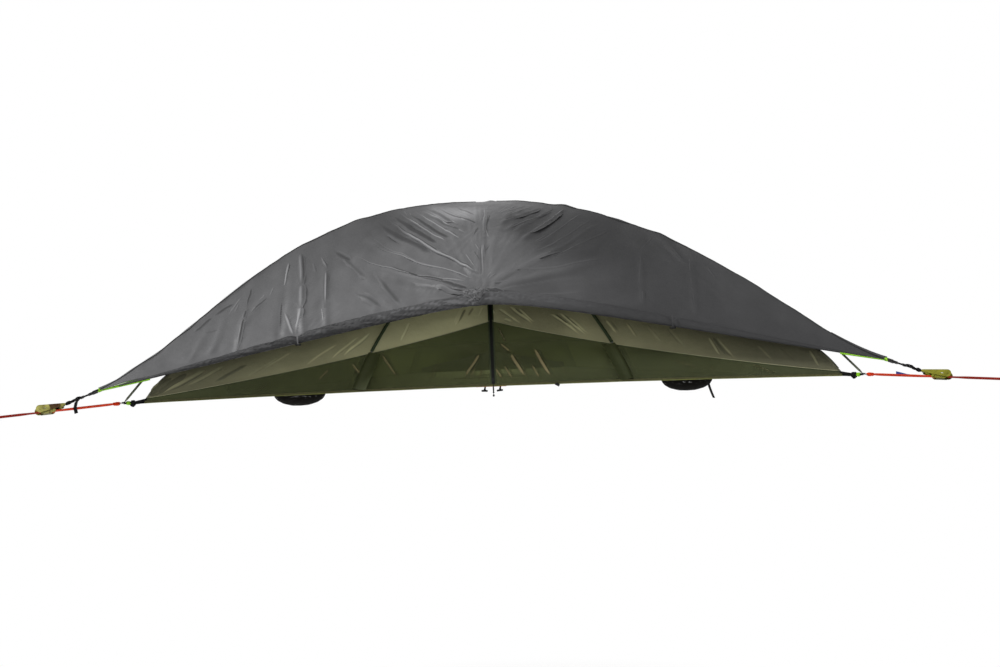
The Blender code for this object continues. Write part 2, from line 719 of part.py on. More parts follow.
def make_rainfly():
    shares = [-1 + 2 * i / (FLY_STATIONS - 1) for i in range(FLY_STATIONS)]
    outline = edge_outline(FLY_ANCHOR_DISTANCE, FLY_DRAW_IN, FLY_TIP_WIDTH, shares)
    # Each edge runs from one corner to the next, and takes each half's slack from the corner at that end.
    ends = (("left", "right"), ("right", "rear"), ("rear", "left"))
    slacks = [FLY_RIDGE_SLACK_SHARES[pair[share > 0]] for pair in ends for share in shares]
    rings = [[Vector((x * out, y * out, fly_height(share, out, slack)))
              for (x, y), share, slack in zip(outline, shares * 3, slacks)] for out in FLY_ROW_SHARES]
    for turn in FLY_ROLL_TURNS:
        a = math.radians(turn)
        ring = []
        for (x, y), share in zip(outline, shares * 3):
            radius = fly_roll_radius(share)
            away = Vector((x, y)).normalized() * radius * (1 - math.cos(a))
            ring.append(Vector((x - away.x, y - away.y, fly_height(share, 1) - radius * math.sin(a))))
        rings.append(ring)
    mesh = rings_mesh("rainfly", rings, Vector((0, 0, FLY_TOP)))
    put("rainfly", solidified(mesh, FLY_THICKNESS, -1), "fly_cloth")


# Front door: zip tape on the wall, its slider and pull, and the toggles that hang by it

def make_door():
    line, _ = half_line(0, 0)
    line = [point for point in line if point[1] < 2 * SEAM_MIDDLE_HEIGHT]
    base = ZIP_STANDOFF
    foot = Vector(line[-1])
    back = (Vector(line[-2]) - foot).normalized()
    line[-1] = tuple(foot + back * base)
    middle = outward(line, base + ZIP_THICKNESS / 2)[1:]
    quarter = Matrix.Rotation(math.radians(-90), 4, "Z")
    tape = strip("door_zip_tape", middle[::-1], ZIP_WIDTH, ZIP_THICKNESS)
    put("door_zip_tape", moved(tape, quarter), "zip_tape")

    # The slider's origin is on the line that it runs along, straight up the wall.
    rise = Vector((0, -back.x, back.y))
    normal = Vector((0, -back.y, -back.x))
    off = base + ZIP_THICKNESS + TOUCH_GAP + SLIDER_THICKNESS / 2
    start = Vector((0, -foot.x, foot.y)) + rise * (SLIDER_REST_LIFT + SLIDER_LENGTH / 2) + normal * off
    across = Vector((1, 0, 0))
    seat = Matrix((
        (across.x, rise.x, normal.x, start.x), (across.y, rise.y, normal.y, start.y),
        (across.z, rise.z, normal.z, start.z), (0, 0, 0, 1)))
    half = (SLIDER_WIDTH / 2, SLIDER_LENGTH / 2, SLIDER_THICKNESS / 2)
    shield = [(-half[0] * BUCKLE_WAIST_SHARE, -half[1]), (half[0] * BUCKLE_WAIST_SHARE, -half[1]),
              (half[0], half[1] * SIN30), (half[0] * SIN30, half[1]), (-half[0] * SIN30, half[1]),
              (-half[0], half[1] * SIN30)]
    slider = put("zip_slider", slab("zip_slider", shield, -half[2], half[2]), "black_plastic", matrix=seat)
    edges = slider.modifiers.new("edges", "BEVEL")
    edges.width = SMALL_BEVEL
    edges.segments = 1

    # The pull follows the tape down over the floor's edge and hangs from there, with a knot and a bead.
    top = start - rise * (SLIDER_LENGTH / 2 + TOUCH_GAP)
    front_y = edge_line(0, FLOOR_ANCHOR_DISTANCE, FLOOR_DRAW_IN) - PULL_FRONT_CLEARANCE
    turn = top - rise * ((top.y - front_y) / rise.y)
    hang = PULL_LENGTH - (top - turn).length
    steps = 12
    cord = [top, turn] + [turn - Vector((0, 0, hang * i / steps)) for i in range(1, steps + 1)]
    knots = (round(steps * PULL_KNOT_SHARE), steps)
    sizes = [PULL_KNOT_RADIUS / (PULL_DIAMETER / 2) if i - 1 in knots else 1 for i in range(len(cord))]
    tube("zip_pull_cord", cord, PULL_DIAMETER / 2, "black_webbing", sizes)

    edge_y = edge_line(TOGGLE_PLACE, FLOOR_ANCHOR_DISTANCE, FLOOR_DRAW_IN) + WEB_WIDTH / 2
    stem_top = WEB_BOTTOM - TOUCH_GAP
    hanging = Matrix.Rotation(math.radians(-90), 4, "X")
    sideways = Matrix.Rotation(math.radians(-90), 4, "Z")
    stem = moved(cylinder("stem", TOGGLE_STEM_RADIUS, 0, TOGGLE_STEM_LENGTH, sides=WIRE_SIDES), hanging)
    bar = cylinder("bar", TOGGLE_BAR_RADIUS, -TOGGLE_BAR_LENGTH / 2, TOGGLE_BAR_LENGTH / 2, sides=WIRE_SIDES)
    bar = moved(bar, Matrix.Translation((0, 0, -TOGGLE_STEM_LENGTH)) @ sideways)
    toggle = joined("door_toggle", stem, bar)
    for name, side in (("left", -1), ("right", 1)):
        put(f"door_toggle_{name}", toggle, "black_plastic",
            matrix=Matrix.Translation((side * TOGGLE_PLACE, edge_y, stem_top)))


# Mesh pouches under the floor, and the pocket across the rear corner

def make_pouch():
    turns = [2 * math.pi * i / ROUND_SIDES for i in range(ROUND_SIDES)]
    rings = [[Vector((POUCH_RADIUS * wide * math.cos(a), POUCH_RADIUS * wide * math.sin(a), -POUCH_DEPTH * deep))
              for a in turns] for wide, deep in POUCH_PROFILE_SHARES]
    bowl = rings_mesh("gear_pouch", rings[::-1], Vector((0, 0, -POUCH_DEPTH)))
    shell = solidified(bowl, POUCH_THICKNESS, 1)
    mouth = box("mouth", (POUCH_RADIUS * SIN30, -POUCH_MOUTH_WIDTH / 2, -POUCH_MOUTH_DROP - POUCH_MOUTH_HEIGHT),
                (POUCH_RADIUS + CUT_OVERRUN, POUCH_MOUTH_WIDTH / 2, -POUCH_MOUTH_DROP))
    return cut("gear_pouch", shell, mouth)


def make_pocket():
    def floor_width(y):
        # The side edges, seen from the rear corner back to the front, as half the floor's width at y.
        place = solve(lambda x: turned((x, edge_line(x, FLOOR_ANCHOR_DISTANCE, FLOOR_DRAW_IN)), 120)[1] - y,
                      -FLOOR_END, FLOOR_END)
        return turned((place, edge_line(place, FLOOR_ANCHOR_DISTANCE, FLOOR_DRAW_IN)), 120)[0]
    half = floor_width(POCKET_PLACE) - POCKET_SIDE_CLEARANCE
    outline = [(-half, TOUCH_GAP), (half, TOUCH_GAP), (half, POCKET_SIDE_HEIGHT), (0, POCKET_HEIGHT),
               (-half, POCKET_SIDE_HEIGHT)]
    panel = plate("rear_pocket", outline, POCKET_PLACE, POCKET_PLACE + POCKET_THICKNESS)
    put("rear_pocket", panel, "mesh_cloth")


# Corner hardware. X runs out along the corner's line and Z is up.

def make_ring_mesh():
    half = RING_BAR_LENGTH / 2
    bend = RING_BAR_SPACING / 2
    centre = [(bend * math.cos(a), side * half + bend * math.sin(a))
              for side, start in ((1, 0), (-1, 180))
              for a in (math.radians(start + 180 * i / 6) for i in range(7))]
    count = len(centre)
    rings = []
    for index, (x, y) in enumerate(centre):
        before, after = centre[index - 1], centre[(index + 1) % count]
        along = Vector((after[0] - before[0], after[1] - before[1])).normalized()
        out = Vector((along.y, -along.x))
        turns = [2 * math.pi * (i + 0.5) / WIRE_SIDES for i in range(WIRE_SIDES)]
        rings.append([Vector((x + out.x * RING_WIRE_RADIUS * math.cos(a), y + out.y * RING_WIRE_RADIUS * math.cos(a),
                              RING_WIRE_RADIUS * math.sin(a))) for a in turns])
    points = [point for ring in rings for point in ring]
    faces = []
    for row in range(count):
        for i in range(WIRE_SIDES):
            j = (i + 1) % WIRE_SIDES
            after = (row + 1) % count
            faces.append((row * WIRE_SIDES + i, after * WIRE_SIDES + i, after * WIRE_SIDES + j, row * WIRE_SIDES + j))
    return mesh_from("corner_ring", points, faces)


def eye_outline(place, radius, thickness, length, way, start_turn=0):
    """A sewn eye round a bar at place, with a flat strap leaving it along X, to the way's side."""
    outer = radius + thickness
    lean = math.degrees(math.asin(thickness / outer))
    points = arc(place, outer, lean, 360 - lean, 12)
    tail = [(place[0] + length, place[1] - thickness), (place[0] + length, place[1] + thickness)]
    points = points + tail
    if way < 0:
        points = [(2 * place[0] - x, z) for x, z in reversed(points)]
    return points


def make_corner_loop():
    bar = (RING_DISTANCE - RING_BAR_SPACING / 2, 0)
    hole = RING_WIRE_RADIUS + EYE_CLEARANCE
    level = WEB_BOTTOM - TOUCH_GAP - STRAP_PLY
    reach = bar[0] - LOOP_NOSE
    eye = plate("eye", eye_outline(bar, hole, STRAP_PLY, reach * SIN30, -1), -WEB_WIDTH / 2, WEB_WIDTH / 2)
    path = [(LOOP_START, level), (LOOP_NOSE, level), (bar[0] - hole - STRAP_PLY, 0)]
    strap = strip("strap", path, WEB_WIDTH - 2 * TOUCH_GAP, 2 * STRAP_PLY - TOUCH_GAP)
    whole = joined("corner_loop", strap, eye)
    return cut("corner_loop", whole, cylinder("bore", hole, -WEB_WIDTH, WEB_WIDTH, bar))


def make_ridge_stay(slack):
    eye_top = RING_WIRE_RADIUS + EYE_CLEARANCE + STRAP_PLY
    bar = RING_DISTANCE - RING_BAR_SPACING / 2
    low = Vector((bar - STAY_FOOT_LENGTH / 2, eye_top + TOUCH_GAP + STAY_THICKNESS / 2))
    foot = Vector((bar + STAY_FOOT_LENGTH / 2, low.y))
    share = STAY_TOP_DISTANCE / FLY_TIP_DISTANCE
    after = (STAY_TOP_DISTANCE - STAY_TOP_LENGTH) / FLY_TIP_DISTANCE
    under = FLY_THICKNESS / COS30 * 2 + STAY_THICKNESS
    top = Vector((STAY_TOP_DISTANCE, fly_height(1, share, slack) - under))
    end = Vector((STAY_TOP_DISTANCE - STAY_TOP_LENGTH, fly_height(1, after, slack) - under))
    return strip("ridge_stay", [tuple(foot), tuple(low), tuple(top), tuple(end)], STAY_WIDTH, STAY_THICKNESS)


def make_short_strap(sign):
    """From the ring's outer bar to the ratchet's bolt, twisting to the ratchet's lean on the way."""
    ring_bar = (RING_BAR_SPACING / 2, 0)
    ring_hole = RING_WIRE_RADIUS + EYE_CLEARANCE
    bolt_hole = BOLT_RADIUS + EYE_CLEARANCE
    wide = WEB_WIDTH / 2
    near = plate("near", eye_outline(ring_bar, ring_hole, STRAP_PLY, STRAP_END_LENGTH, 1), -wide, wide)
    near = cut("near", near, cylinder("bore", ring_hole, -WEB_WIDTH, WEB_WIDTH, ring_bar))
    far = plate("far", eye_outline((BOLT_PLACE, 0), bolt_hole, STRAP_PLY, STRAP_END_LENGTH, -1), -wide, wide)
    far = cut("far", far, cylinder("bore", bolt_hole, -WEB_WIDTH, WEB_WIDTH, (BOLT_PLACE, 0)))
    twist = Matrix.Rotation(math.radians(sign * LINE_TWIST), 4, "X")
    start = ring_bar[0] + STRAP_END_LENGTH * SIN30
    stop = BOLT_PLACE - STRAP_END_LENGTH * SIN30
    steps = 8
    path = [(start + (stop - start) * i / steps, 0) for i in range(steps + 1)]
    eased = [3 * (i / steps) ** 2 - 2 * (i / steps) ** 3 for i in range(steps + 1)]
    band = strip("band", path, WEB_WIDTH - 2 * TOUCH_GAP, 2 * STRAP_PLY - TOUCH_GAP,
                 [sign * LINE_TWIST * share for share in eased])
    return joined("short_strap", band, near, moved(far, twist))


def make_tree_strap():
    """From the spool out to the sewn loop; X starts under the axle, at the strap's own level."""
    stop = TREE_STRAP_LENGTH
    band = box("band", (0, -WEB_WIDTH / 2, -WOUND_PLY / 2),
               (stop + STRAP_END_LENGTH / 2, WEB_WIDTH / 2, WOUND_PLY / 2))
    far = stop + TREE_LOOP_LENGTH
    wide = TREE_LOOP_HEIGHT / 2
    nose = TREE_LOOP_NOSE_HEIGHT / 2
    half = [(stop, WOUND_PLY), (stop + STRAP_END_LENGTH, WOUND_PLY * 2), (stop + TREE_LOOP_LENGTH / 2, wide * COS30),
            (far - wide, wide), (far - wide * SIN30, wide * COS30), (far, nose)]
    outer = half + [(x, -z) for x, z in reversed(half)]
    inset = [(stop + STRAP_END_LENGTH, 0), (stop + STRAP_END_LENGTH + WOUND_PLY * 2, WOUND_PLY / 2),
             (stop + TREE_LOOP_LENGTH / 2, wide * COS30 - WOUND_PLY),
             (far - wide, wide - WOUND_PLY), (far - wide * SIN30 - WOUND_PLY, wide * COS30 - WOUND_PLY),
             (far - WOUND_PLY, nose - WOUND_PLY / 2)]
    inner = inset + [(x, -z) for x, z in reversed(inset[1:])]
    ring = plate("ring", outer, -WEB_WIDTH / 2 + TOUCH_GAP, WEB_WIDTH / 2 - TOUCH_GAP)
    ring = cut("ring", ring, plate("gap", inner, -WEB_WIDTH, WEB_WIDTH))
    return joined("tree_strap", ring, band)


# Ratchet. X and Z start at the axle; the handle lies along -X, closed.

def toothed_wheel(low, high):
    pitch = 360 / WHEEL_TEETH
    # Each tooth's steep face looks the way the strap would unwind, and a pawl's gap is centred on its land.
    shift = 180 - pitch * TOOTH_LAND_SHARE / 2
    outline = []
    for tooth in range(WHEEL_TEETH):
        for radius, share in ((WHEEL_ROOT_RADIUS, 0), (WHEEL_ROOT_RADIUS, TOOTH_LAND_SHARE),
                              (WHEEL_TIP_RADIUS, TOOTH_TIP_SHARE)):
            a = math.radians(shift + pitch * (tooth + share))
            outline.append((radius * math.cos(a), radius * math.sin(a)))
    return plate("wheel", outline, low, high)


def make_spool():
    half = HANDLE_OUTER + AXLE_PROUD
    axle = cylinder("axle", AXLE_RADIUS, -half, half)
    lean = Matrix.Rotation(math.radians(90 - SLOT_ANGLE), 4, "Y")
    slot = moved(box("slot", (-AXLE_SLOT / 2, -BODY_INNER_WIDTH / 2, -CUT_OVERRUN),
                     (AXLE_SLOT / 2, BODY_INNER_WIDTH / 2, CUT_OVERRUN)), lean)
    axle = cut("axle", axle, slot)
    return joined("ratchet_spool", axle, toothed_wheel(WHEEL_INNER, WHEEL_OUTER),
                  toothed_wheel(-WHEEL_OUTER, -WHEEL_INNER))


def wound_path():
    """From close round the axle out to the last turn's end, under the axle, heading out along the strap line."""
    count = round(WOUND_LOOP_POINTS * WOUND_TURNS)
    path = []
    for i in range(count + 1):
        radius = WOUND_START_RADIUS + (WOUND_END_RADIUS - WOUND_START_RADIUS) * i / count
        angle = math.radians(-90 - 360 * WOUND_TURNS * (1 - i / count))
        path.append((radius * math.cos(angle), radius * math.sin(angle)))
    return path


def least_self_gap(path, thickness):
    """The least distance between parts of the path over a quarter turn apart, less the band's thickness."""
    apart = WOUND_LOOP_POINTS // 2
    found = min(math.dist(a, b) for i, a in enumerate(path) for b in path[i + apart:])
    return found - thickness


def make_wound_strap():
    path = wound_path()
    print(f"wound strap: least gap to itself {1000 * least_self_gap(path, WOUND_PLY):.2f} mm")
    return strip("wound_strap", path, WOUND_WIDTH, WOUND_PLY)


def slanted_box(name, low, high, degrees):
    """A box along X, turned up from +X towards +Z by so many degrees about Y."""
    return moved(box(name, low, high), Matrix.Rotation(math.radians(-degrees), 4, "Y"))


NOSE_RADIUS = WHEEL_ROOT_RADIUS + PAWL_NOSE_CLEARANCE
CLEAR_RADIUS = WHEEL_TIP_RADIUS + PAWL_NOSE_CLEARANCE


def make_frame():
    """The U-shaped body: two side plates, the base web that joins them and the strap's bolt."""
    bolt = (-BOLT_TO_AXLE, -AXLE_HEIGHT)
    bottom = -AXLE_HEIGHT - BODY_BOTTOM_DROP
    bend = BODY_AXLE_RADIUS
    outline = arc((0, 0), bend, -60, 190, 12)
    outline += arc(bolt, BODY_BOLT_RADIUS, 90, 210, 5)
    outline += [(bolt[0], bottom), (-bend * SIN30, bottom)]
    half = BODY_INNER_WIDTH / 2
    near = plate("near", outline, -half - BODY_PLATE, -half)
    far = plate("far", outline, half, half + BODY_PLATE)
    web = box("web", (bolt[0] + WEB_FRONT_MARGIN, -half - BODY_PLATE / 2, bottom),
              (-bend, half + BODY_PLATE / 2, bottom + BODY_PLATE))
    reach = half + BODY_PLATE + TOUCH_GAP
    pin = cylinder("pin", BOLT_RADIUS, -reach, reach, bolt, WIRE_SIDES * 2)
    heads = [cylinder("head", BOLT_HEAD_RADIUS, low, low + BOLT_HEAD_HEIGHT, bolt, 6)
             for low in (half + BODY_PLATE - TOUCH_GAP, -half - BODY_PLATE + TOUCH_GAP - BOLT_HEAD_HEIGHT)]
    solid = joined("ratchet_frame", near, web, far, pin, *heads)
    wide = PAWL_THICKNESS / 2 + PAWL_SLOT_CLEARANCE
    slot = slanted_box("slot", (NOSE_RADIUS - PAWL_SLOT_CLEARANCE, -HANDLE_OUTER, -wide),
                       (NOSE_RADIUS + LOCK_PAWL_LENGTH + PAWL_TRAVEL + PAWL_SLOT_CLEARANCE, HANDLE_OUTER, wide),
                       LOCK_PAWL_ANGLE)
    bore = cylinder("bore", AXLE_RADIUS + AXLE_CLEARANCE, -HANDLE_OUTER, HANDLE_OUTER)
    return cut("ratchet_frame", solid, bore, slot)


def make_handle():
    end = (-HANDLE_LENGTH, HANDLE_RISE)
    outline = link_outline((0, 0), HANDLE_AXLE_RADIUS, end, HANDLE_END_RADIUS, 14)
    near = plate("near", outline, -HANDLE_OUTER, -HANDLE_INNER)
    far = plate("far", outline, HANDLE_INNER, HANDLE_OUTER)
    inside = HANDLE_INNER + HANDLE_PLATE / 2
    bar = cylinder("bar", GRIP_BAR_RADIUS, -inside, inside, end, WIRE_SIDES * 2)
    tilt = math.degrees(math.atan2(HANDLE_RISE, HANDLE_LENGTH))
    length = math.hypot(HANDLE_LENGTH, HANDLE_RISE)
    grip = slanted_box("grip", (GRIP_START, -inside, -GRIP_LIFT - GRIP_THICKNESS),
                       (length - FINGER_GAP, inside, -GRIP_LIFT), 180 - tilt)
    solid = joined("ratchet_handle", near, bar, grip, far)
    wide = PAWL_THICKNESS / 2 + PAWL_SLOT_CLEARANCE
    outer = CLEAR_RADIUS + DRIVE_PAWL_LENGTH + PAWL_TRAVEL + PAWL_SLOT_CLEARANCE
    inner = CLEAR_RADIUS - PAWL_TRAVEL + TOUCH_GAP
    slot = box("slot", (-outer, -HANDLE_OUTER - CUT_OVERRUN, -wide), (-inner, HANDLE_OUTER + CUT_OVERRUN, wide))
    bore = cylinder("bore", AXLE_RADIUS + AXLE_CLEARANCE, -HANDLE_OUTER - CUT_OVERRUN, HANDLE_OUTER + CUT_OVERRUN)
    return cut("ratchet_handle", solid, bore, slot)


def make_drive_pawl():
    """Clear of the teeth at rest; it slides towards the axle into a gap, and away when pulled."""
    reach = HANDLE_OUTER + AXLE_PROUD / 2
    start = CLEAR_RADIUS
    mid = start + DRIVE_PAWL_LENGTH
    end = mid + DRIVE_PAWL_GRIP_LENGTH
    grip = DRIVE_PAWL_GRIP_WIDTH / 2
    outline = [(-start, -reach), (-mid, -reach), (-mid, -grip), (-end, -grip), (-end, grip), (-mid, grip),
               (-mid, reach), (-start, reach)]
    return slab("drive_pawl", outline[::-1], -PAWL_THICKNESS / 2, PAWL_THICKNESS / 2)


def make_lock_pawl():
    """Seated in a gap of both wheels at rest."""
    return slanted_box("lock_pawl", (NOSE_RADIUS, -WHEEL_OUTER - TOUCH_GAP, -PAWL_THICKNESS / 2),
                       (NOSE_RADIUS + LOCK_PAWL_LENGTH, WHEEL_OUTER + TOUCH_GAP, PAWL_THICKNESS / 2),
                       LOCK_PAWL_ANGLE)


# Fly guy: X runs from the fly's tip towards the grip bar

def make_buckle():
    start = BUCKLE_START
    wide = BUCKLE_WIDTH / 2
    waist = wide * BUCKLE_WAIST_SHARE
    length = BUCKLE_LENGTH
    middle = BUCKLE_MIDDLE_SHARE
    half = [(start, waist), (start + length * BUCKLE_END_SHARE, wide), (start + length * middle, wide),
            (start + length / 2, waist), (start + length * (1 - middle), wide),
            (start + length * (1 - BUCKLE_END_SHARE), wide), (start + length, waist)]
    outline = half + [(x, -y) for x, y in reversed(half)]
    body = slab("fly_buckle", outline, -BUCKLE_THICKNESS / 2, BUCKLE_THICKNESS / 2)
    tools = []
    for side in (-1, 1):
        rim = side * (waist + wide) / 2
        low = start + length / 2 - BUCKLE_WINDOW_LENGTH
        tools.append(box("window", (low, min(rim, rim * SIN30), -CUT_OVERRUN),
                         (low + BUCKLE_WINDOW_LENGTH / 2, max(rim, rim * SIN30), CUT_OVERRUN)))
    for place in (start + BUCKLE_WINDOW_WIDTH / 2, start + length - BUCKLE_WINDOW_WIDTH):
        tools.append(box("slot", (place, -GUY_WIDTH / 2, -CUT_OVERRUN),
                         (place + BUCKLE_WINDOW_WIDTH / 2, GUY_WIDTH / 2, CUT_OVERRUN)))
    return cut("fly_buckle", body, *tools)


def make_guy(length):
    """Webbing from the buckle to the hook's eye, with its ladder lock and hanging tail."""
    start = BUCKLE_START + BUCKLE_LENGTH + TOUCH_GAP
    stop = length - hook_reach() - TOUCH_GAP
    run = strip("run", [(start, 0), (stop, 0)], GUY_WIDTH, GUY_THICKNESS)
    lock = box("lock", (LADDER_PLACE, -LADDER_WIDTH / 2, -LADDER_THICKNESS / 2),
               (LADDER_PLACE + LADDER_LENGTH, LADDER_WIDTH / 2, LADDER_THICKNESS / 2))
    return run, lock


def make_guy_tail(guy_frame, way, sign):
    """The webbing's end folds over to the near side past the strap line and hangs straight down there."""
    near = GUY_TAIL_SIDE
    path = [(0, 0), (near * COS30 * COS30, 0), (near, -near * SIN30), (near, -GUY_TAIL_LENGTH)]
    tail = strip("tail", [(sign * out, height) for out, height in path], GUY_WIDTH - 2 * TOUCH_GAP, GUY_THICKNESS)
    start = guy_frame.translation + way * GUY_TAIL_PLACE
    skew = Matrix(((0, way.x, 0, start.x), (1, 0, 0, 0), (0, way.z, 1, start.z), (0, 0, 0, 1)))
    placed = moved(tail, guy_frame.inverted() @ skew)
    work = bmesh.new()
    work.from_mesh(placed)
    bmesh.ops.recalc_face_normals(work, faces=work.faces)
    work.to_mesh(placed)
    work.free()
    return placed


def hook_reach():
    return HOOK_SHANK + HOOK_EYE_LENGTH


def make_hook():
    """X and Z start at the grip bar, and X runs towards the guy. The U is open at its top."""
    middle = GRIP_BAR_RADIUS + HOOK_CLEARANCE + HOOK_THICKNESS / 2
    path = [(HOOK_SHANK + HOOK_EYE_LENGTH / 4, 0), (middle + HOOK_THICKNESS, -HOOK_THICKNESS / 2)]
    path += arc((0, 0), middle, -30, -180, 7) + [(-middle, HOOK_LIP)]
    curl = strip("curl", path, HOOK_WIDTH, HOOK_THICKNESS)
    wide = GUY_WIDTH / 2
    frame = box("frame", (HOOK_SHANK, -wide - HOOK_THICKNESS, -HOOK_THICKNESS / 2 + TOUCH_GAP),
                (HOOK_SHANK + HOOK_EYE_LENGTH, wide + HOOK_THICKNESS, HOOK_THICKNESS / 2 + TOUCH_GAP))
    slot = box("slot", (HOOK_SHANK + HOOK_THICKNESS * 1.5, -wide, -CUT_OVERRUN),
               (HOOK_SHANK + HOOK_EYE_LENGTH - HOOK_THICKNESS, wide, CUT_OVERRUN))
    return cut("fly_hook", joined("fly_hook", curl, frame), slot)


def basis(start, along, across):
    """A frame with X along, Y near across and Z square to both."""
    x = along.normalized()
    y = (across - x * across.dot(x)).normalized()
    z = x.cross(y)
    return Matrix(((x.x, y.x, z.x, start.x), (x.y, y.y, z.y, start.y), (x.z, y.z, z.z, start.z), (0, 0, 0, 1)))


def make_corners():
    ring = make_ring_mesh()
    loop = make_corner_loop()
    frame = make_frame()
    handle = make_handle()
    spool = make_spool()
    wound = make_wound_strap()
    drive = make_drive_pawl()
    lock = make_lock_pawl()
    tree = make_tree_strap()
    buckle = make_buckle()
    hook = make_hook()
    pouch = make_pouch()
    for name, degrees in CORNERS.items():
        sign = TWIST_SIGNS[name]
        corner = empty(f"corner_{name}", None, Matrix.Rotation(math.radians(degrees), 4, "Z"))
        drop = Matrix.Translation((RING_DISTANCE, 0, 0)) @ Matrix.Rotation(math.radians(LINE_DROP), 4, "Y")
        line = empty(f"line_{name}", corner, drop)
        lean = Matrix.Rotation(math.radians(sign * LINE_TWIST), 4, "X")
        axle_at = lean @ Matrix.Translation((AXLE_PLACE, 0, AXLE_HEIGHT))
        axle = empty(f"axle_{name}", line, axle_at)

        put(f"corner_ring_{name}", ring, "bare_steel", corner, Matrix.Translation((RING_DISTANCE, 0, 0)))
        put(f"corner_loop_{name}", loop, "black_webbing", corner)
        put(f"ridge_stay_{name}", make_ridge_stay(FLY_RIDGE_SLACK_SHARES[name]), "grey_tape", corner)
        put(f"gear_pouch_{name}", pouch, "mesh_cloth", corner,
            Matrix.Translation((POUCH_DISTANCE, 0, WEB_BOTTOM - TOUCH_GAP)))
        put(f"short_strap_{name}", make_short_strap(sign), "orange_webbing", line)
        put(f"tree_strap_{name}", tree, "orange_webbing", line,
            lean @ Matrix.Translation((AXLE_PLACE, 0, 0)))
        put(f"ratchet_frame_{name}", frame, "zinc_plate", axle)
        put(f"ratchet_handle_{name}", handle, "zinc_plate", axle)
        put(f"ratchet_spool_{name}", spool, "zinc_plate", axle)
        put(f"wound_strap_{name}", wound, "orange_webbing", axle)
        put(f"drive_pawl_{name}", drive, "bare_steel", axle)
        put(f"lock_pawl_{name}", lock, "bare_steel", axle)

        # The guy runs in the corner's upright plane, so it meets the leaning bar to one side of its middle.
        side = GRIP_PLACE.z * math.tan(math.radians(sign * LINE_TWIST))
        grip = drop @ lean @ Vector((GRIP_PLACE.x, side, GRIP_PLACE.z))
        bar_way = (drop @ lean).to_3x3() @ Vector((0, 1, 0))
        tip = Vector((FLY_TIP_DISTANCE, 0, fly_hem_height(1) + FLY_TIP_ROLL_RADIUS))
        way = grip - tip
        guy_frame = basis(tip, way, Vector((0, 1, 0)))
        put(f"fly_buckle_{name}", buckle, "black_plastic", corner, guy_frame)
        run, lock_plate = make_guy(way.length)
        tail = make_guy_tail(guy_frame, way.normalized(), sign)
        put(f"fly_guy_{name}", joined(f"fly_guy_{name}", run, lock_plate, tail), "black_webbing", corner, guy_frame)
        put(f"fly_hook_{name}", hook, "black_plastic", corner, basis(grip, -way, -bar_way))


make_floor()
make_inner_tent()
make_poles()
make_rainfly()
make_door()
make_pocket()
make_corners()
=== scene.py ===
import math
from functools import partial

import bmesh
import bpy
import numpy as np
from mathutils import Matrix, Vector, noise
from mathutils.bvhtree import BVHTree


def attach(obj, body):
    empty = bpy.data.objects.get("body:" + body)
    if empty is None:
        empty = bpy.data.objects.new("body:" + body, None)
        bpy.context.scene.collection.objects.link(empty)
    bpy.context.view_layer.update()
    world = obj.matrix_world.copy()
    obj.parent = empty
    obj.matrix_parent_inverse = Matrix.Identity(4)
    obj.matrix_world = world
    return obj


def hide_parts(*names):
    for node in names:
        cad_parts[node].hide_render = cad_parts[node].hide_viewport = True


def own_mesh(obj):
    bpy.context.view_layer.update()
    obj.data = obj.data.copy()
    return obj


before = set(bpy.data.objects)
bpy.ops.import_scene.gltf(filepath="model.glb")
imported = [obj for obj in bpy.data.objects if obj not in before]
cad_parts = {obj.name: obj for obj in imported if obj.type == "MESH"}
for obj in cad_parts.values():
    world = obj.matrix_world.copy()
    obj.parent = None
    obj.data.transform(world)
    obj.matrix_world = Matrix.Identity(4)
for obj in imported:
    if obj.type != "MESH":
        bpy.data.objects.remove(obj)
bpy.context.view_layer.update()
scene = bpy.context.scene
print("frame loaded")

cos30 = math.cos(math.radians(30))
sin30 = 0.5
corners = {"left": 210, "right": 330, "rear": 90}  # turn from +X to each corner
twistSigns = {"left": 1, "right": -1, "rear": 1}  # which way each strap line leans
touchGap = 0.0003


def turnAbout(axis, degrees):
    return Matrix.Rotation(math.radians(degrees), 4, axis)


def shift(x, y=0.0, z=0.0):
    return Matrix.Translation((x, y, z))


# camera

camera = {"place": (0, -8.68, 0.50), "pitch": 1.47, "roll": -2.25, "lens": 48.35, "shiftX": 0.0087}
lens = bpy.data.cameras.new("camera")
lens.lens = camera["lens"]
lens.shift_x = camera["shiftX"]
viewer = bpy.data.objects.new("camera", lens)
scene.collection.objects.link(viewer)
tilt = turnAbout("X", 90 - camera["pitch"]) @ turnAbout("Z", camera["roll"])
viewer.matrix_world = shift(*camera["place"]) @ tilt
scene.camera = viewer


# shader maths: a Field stands for a socket, and sums of Fields add Math nodes

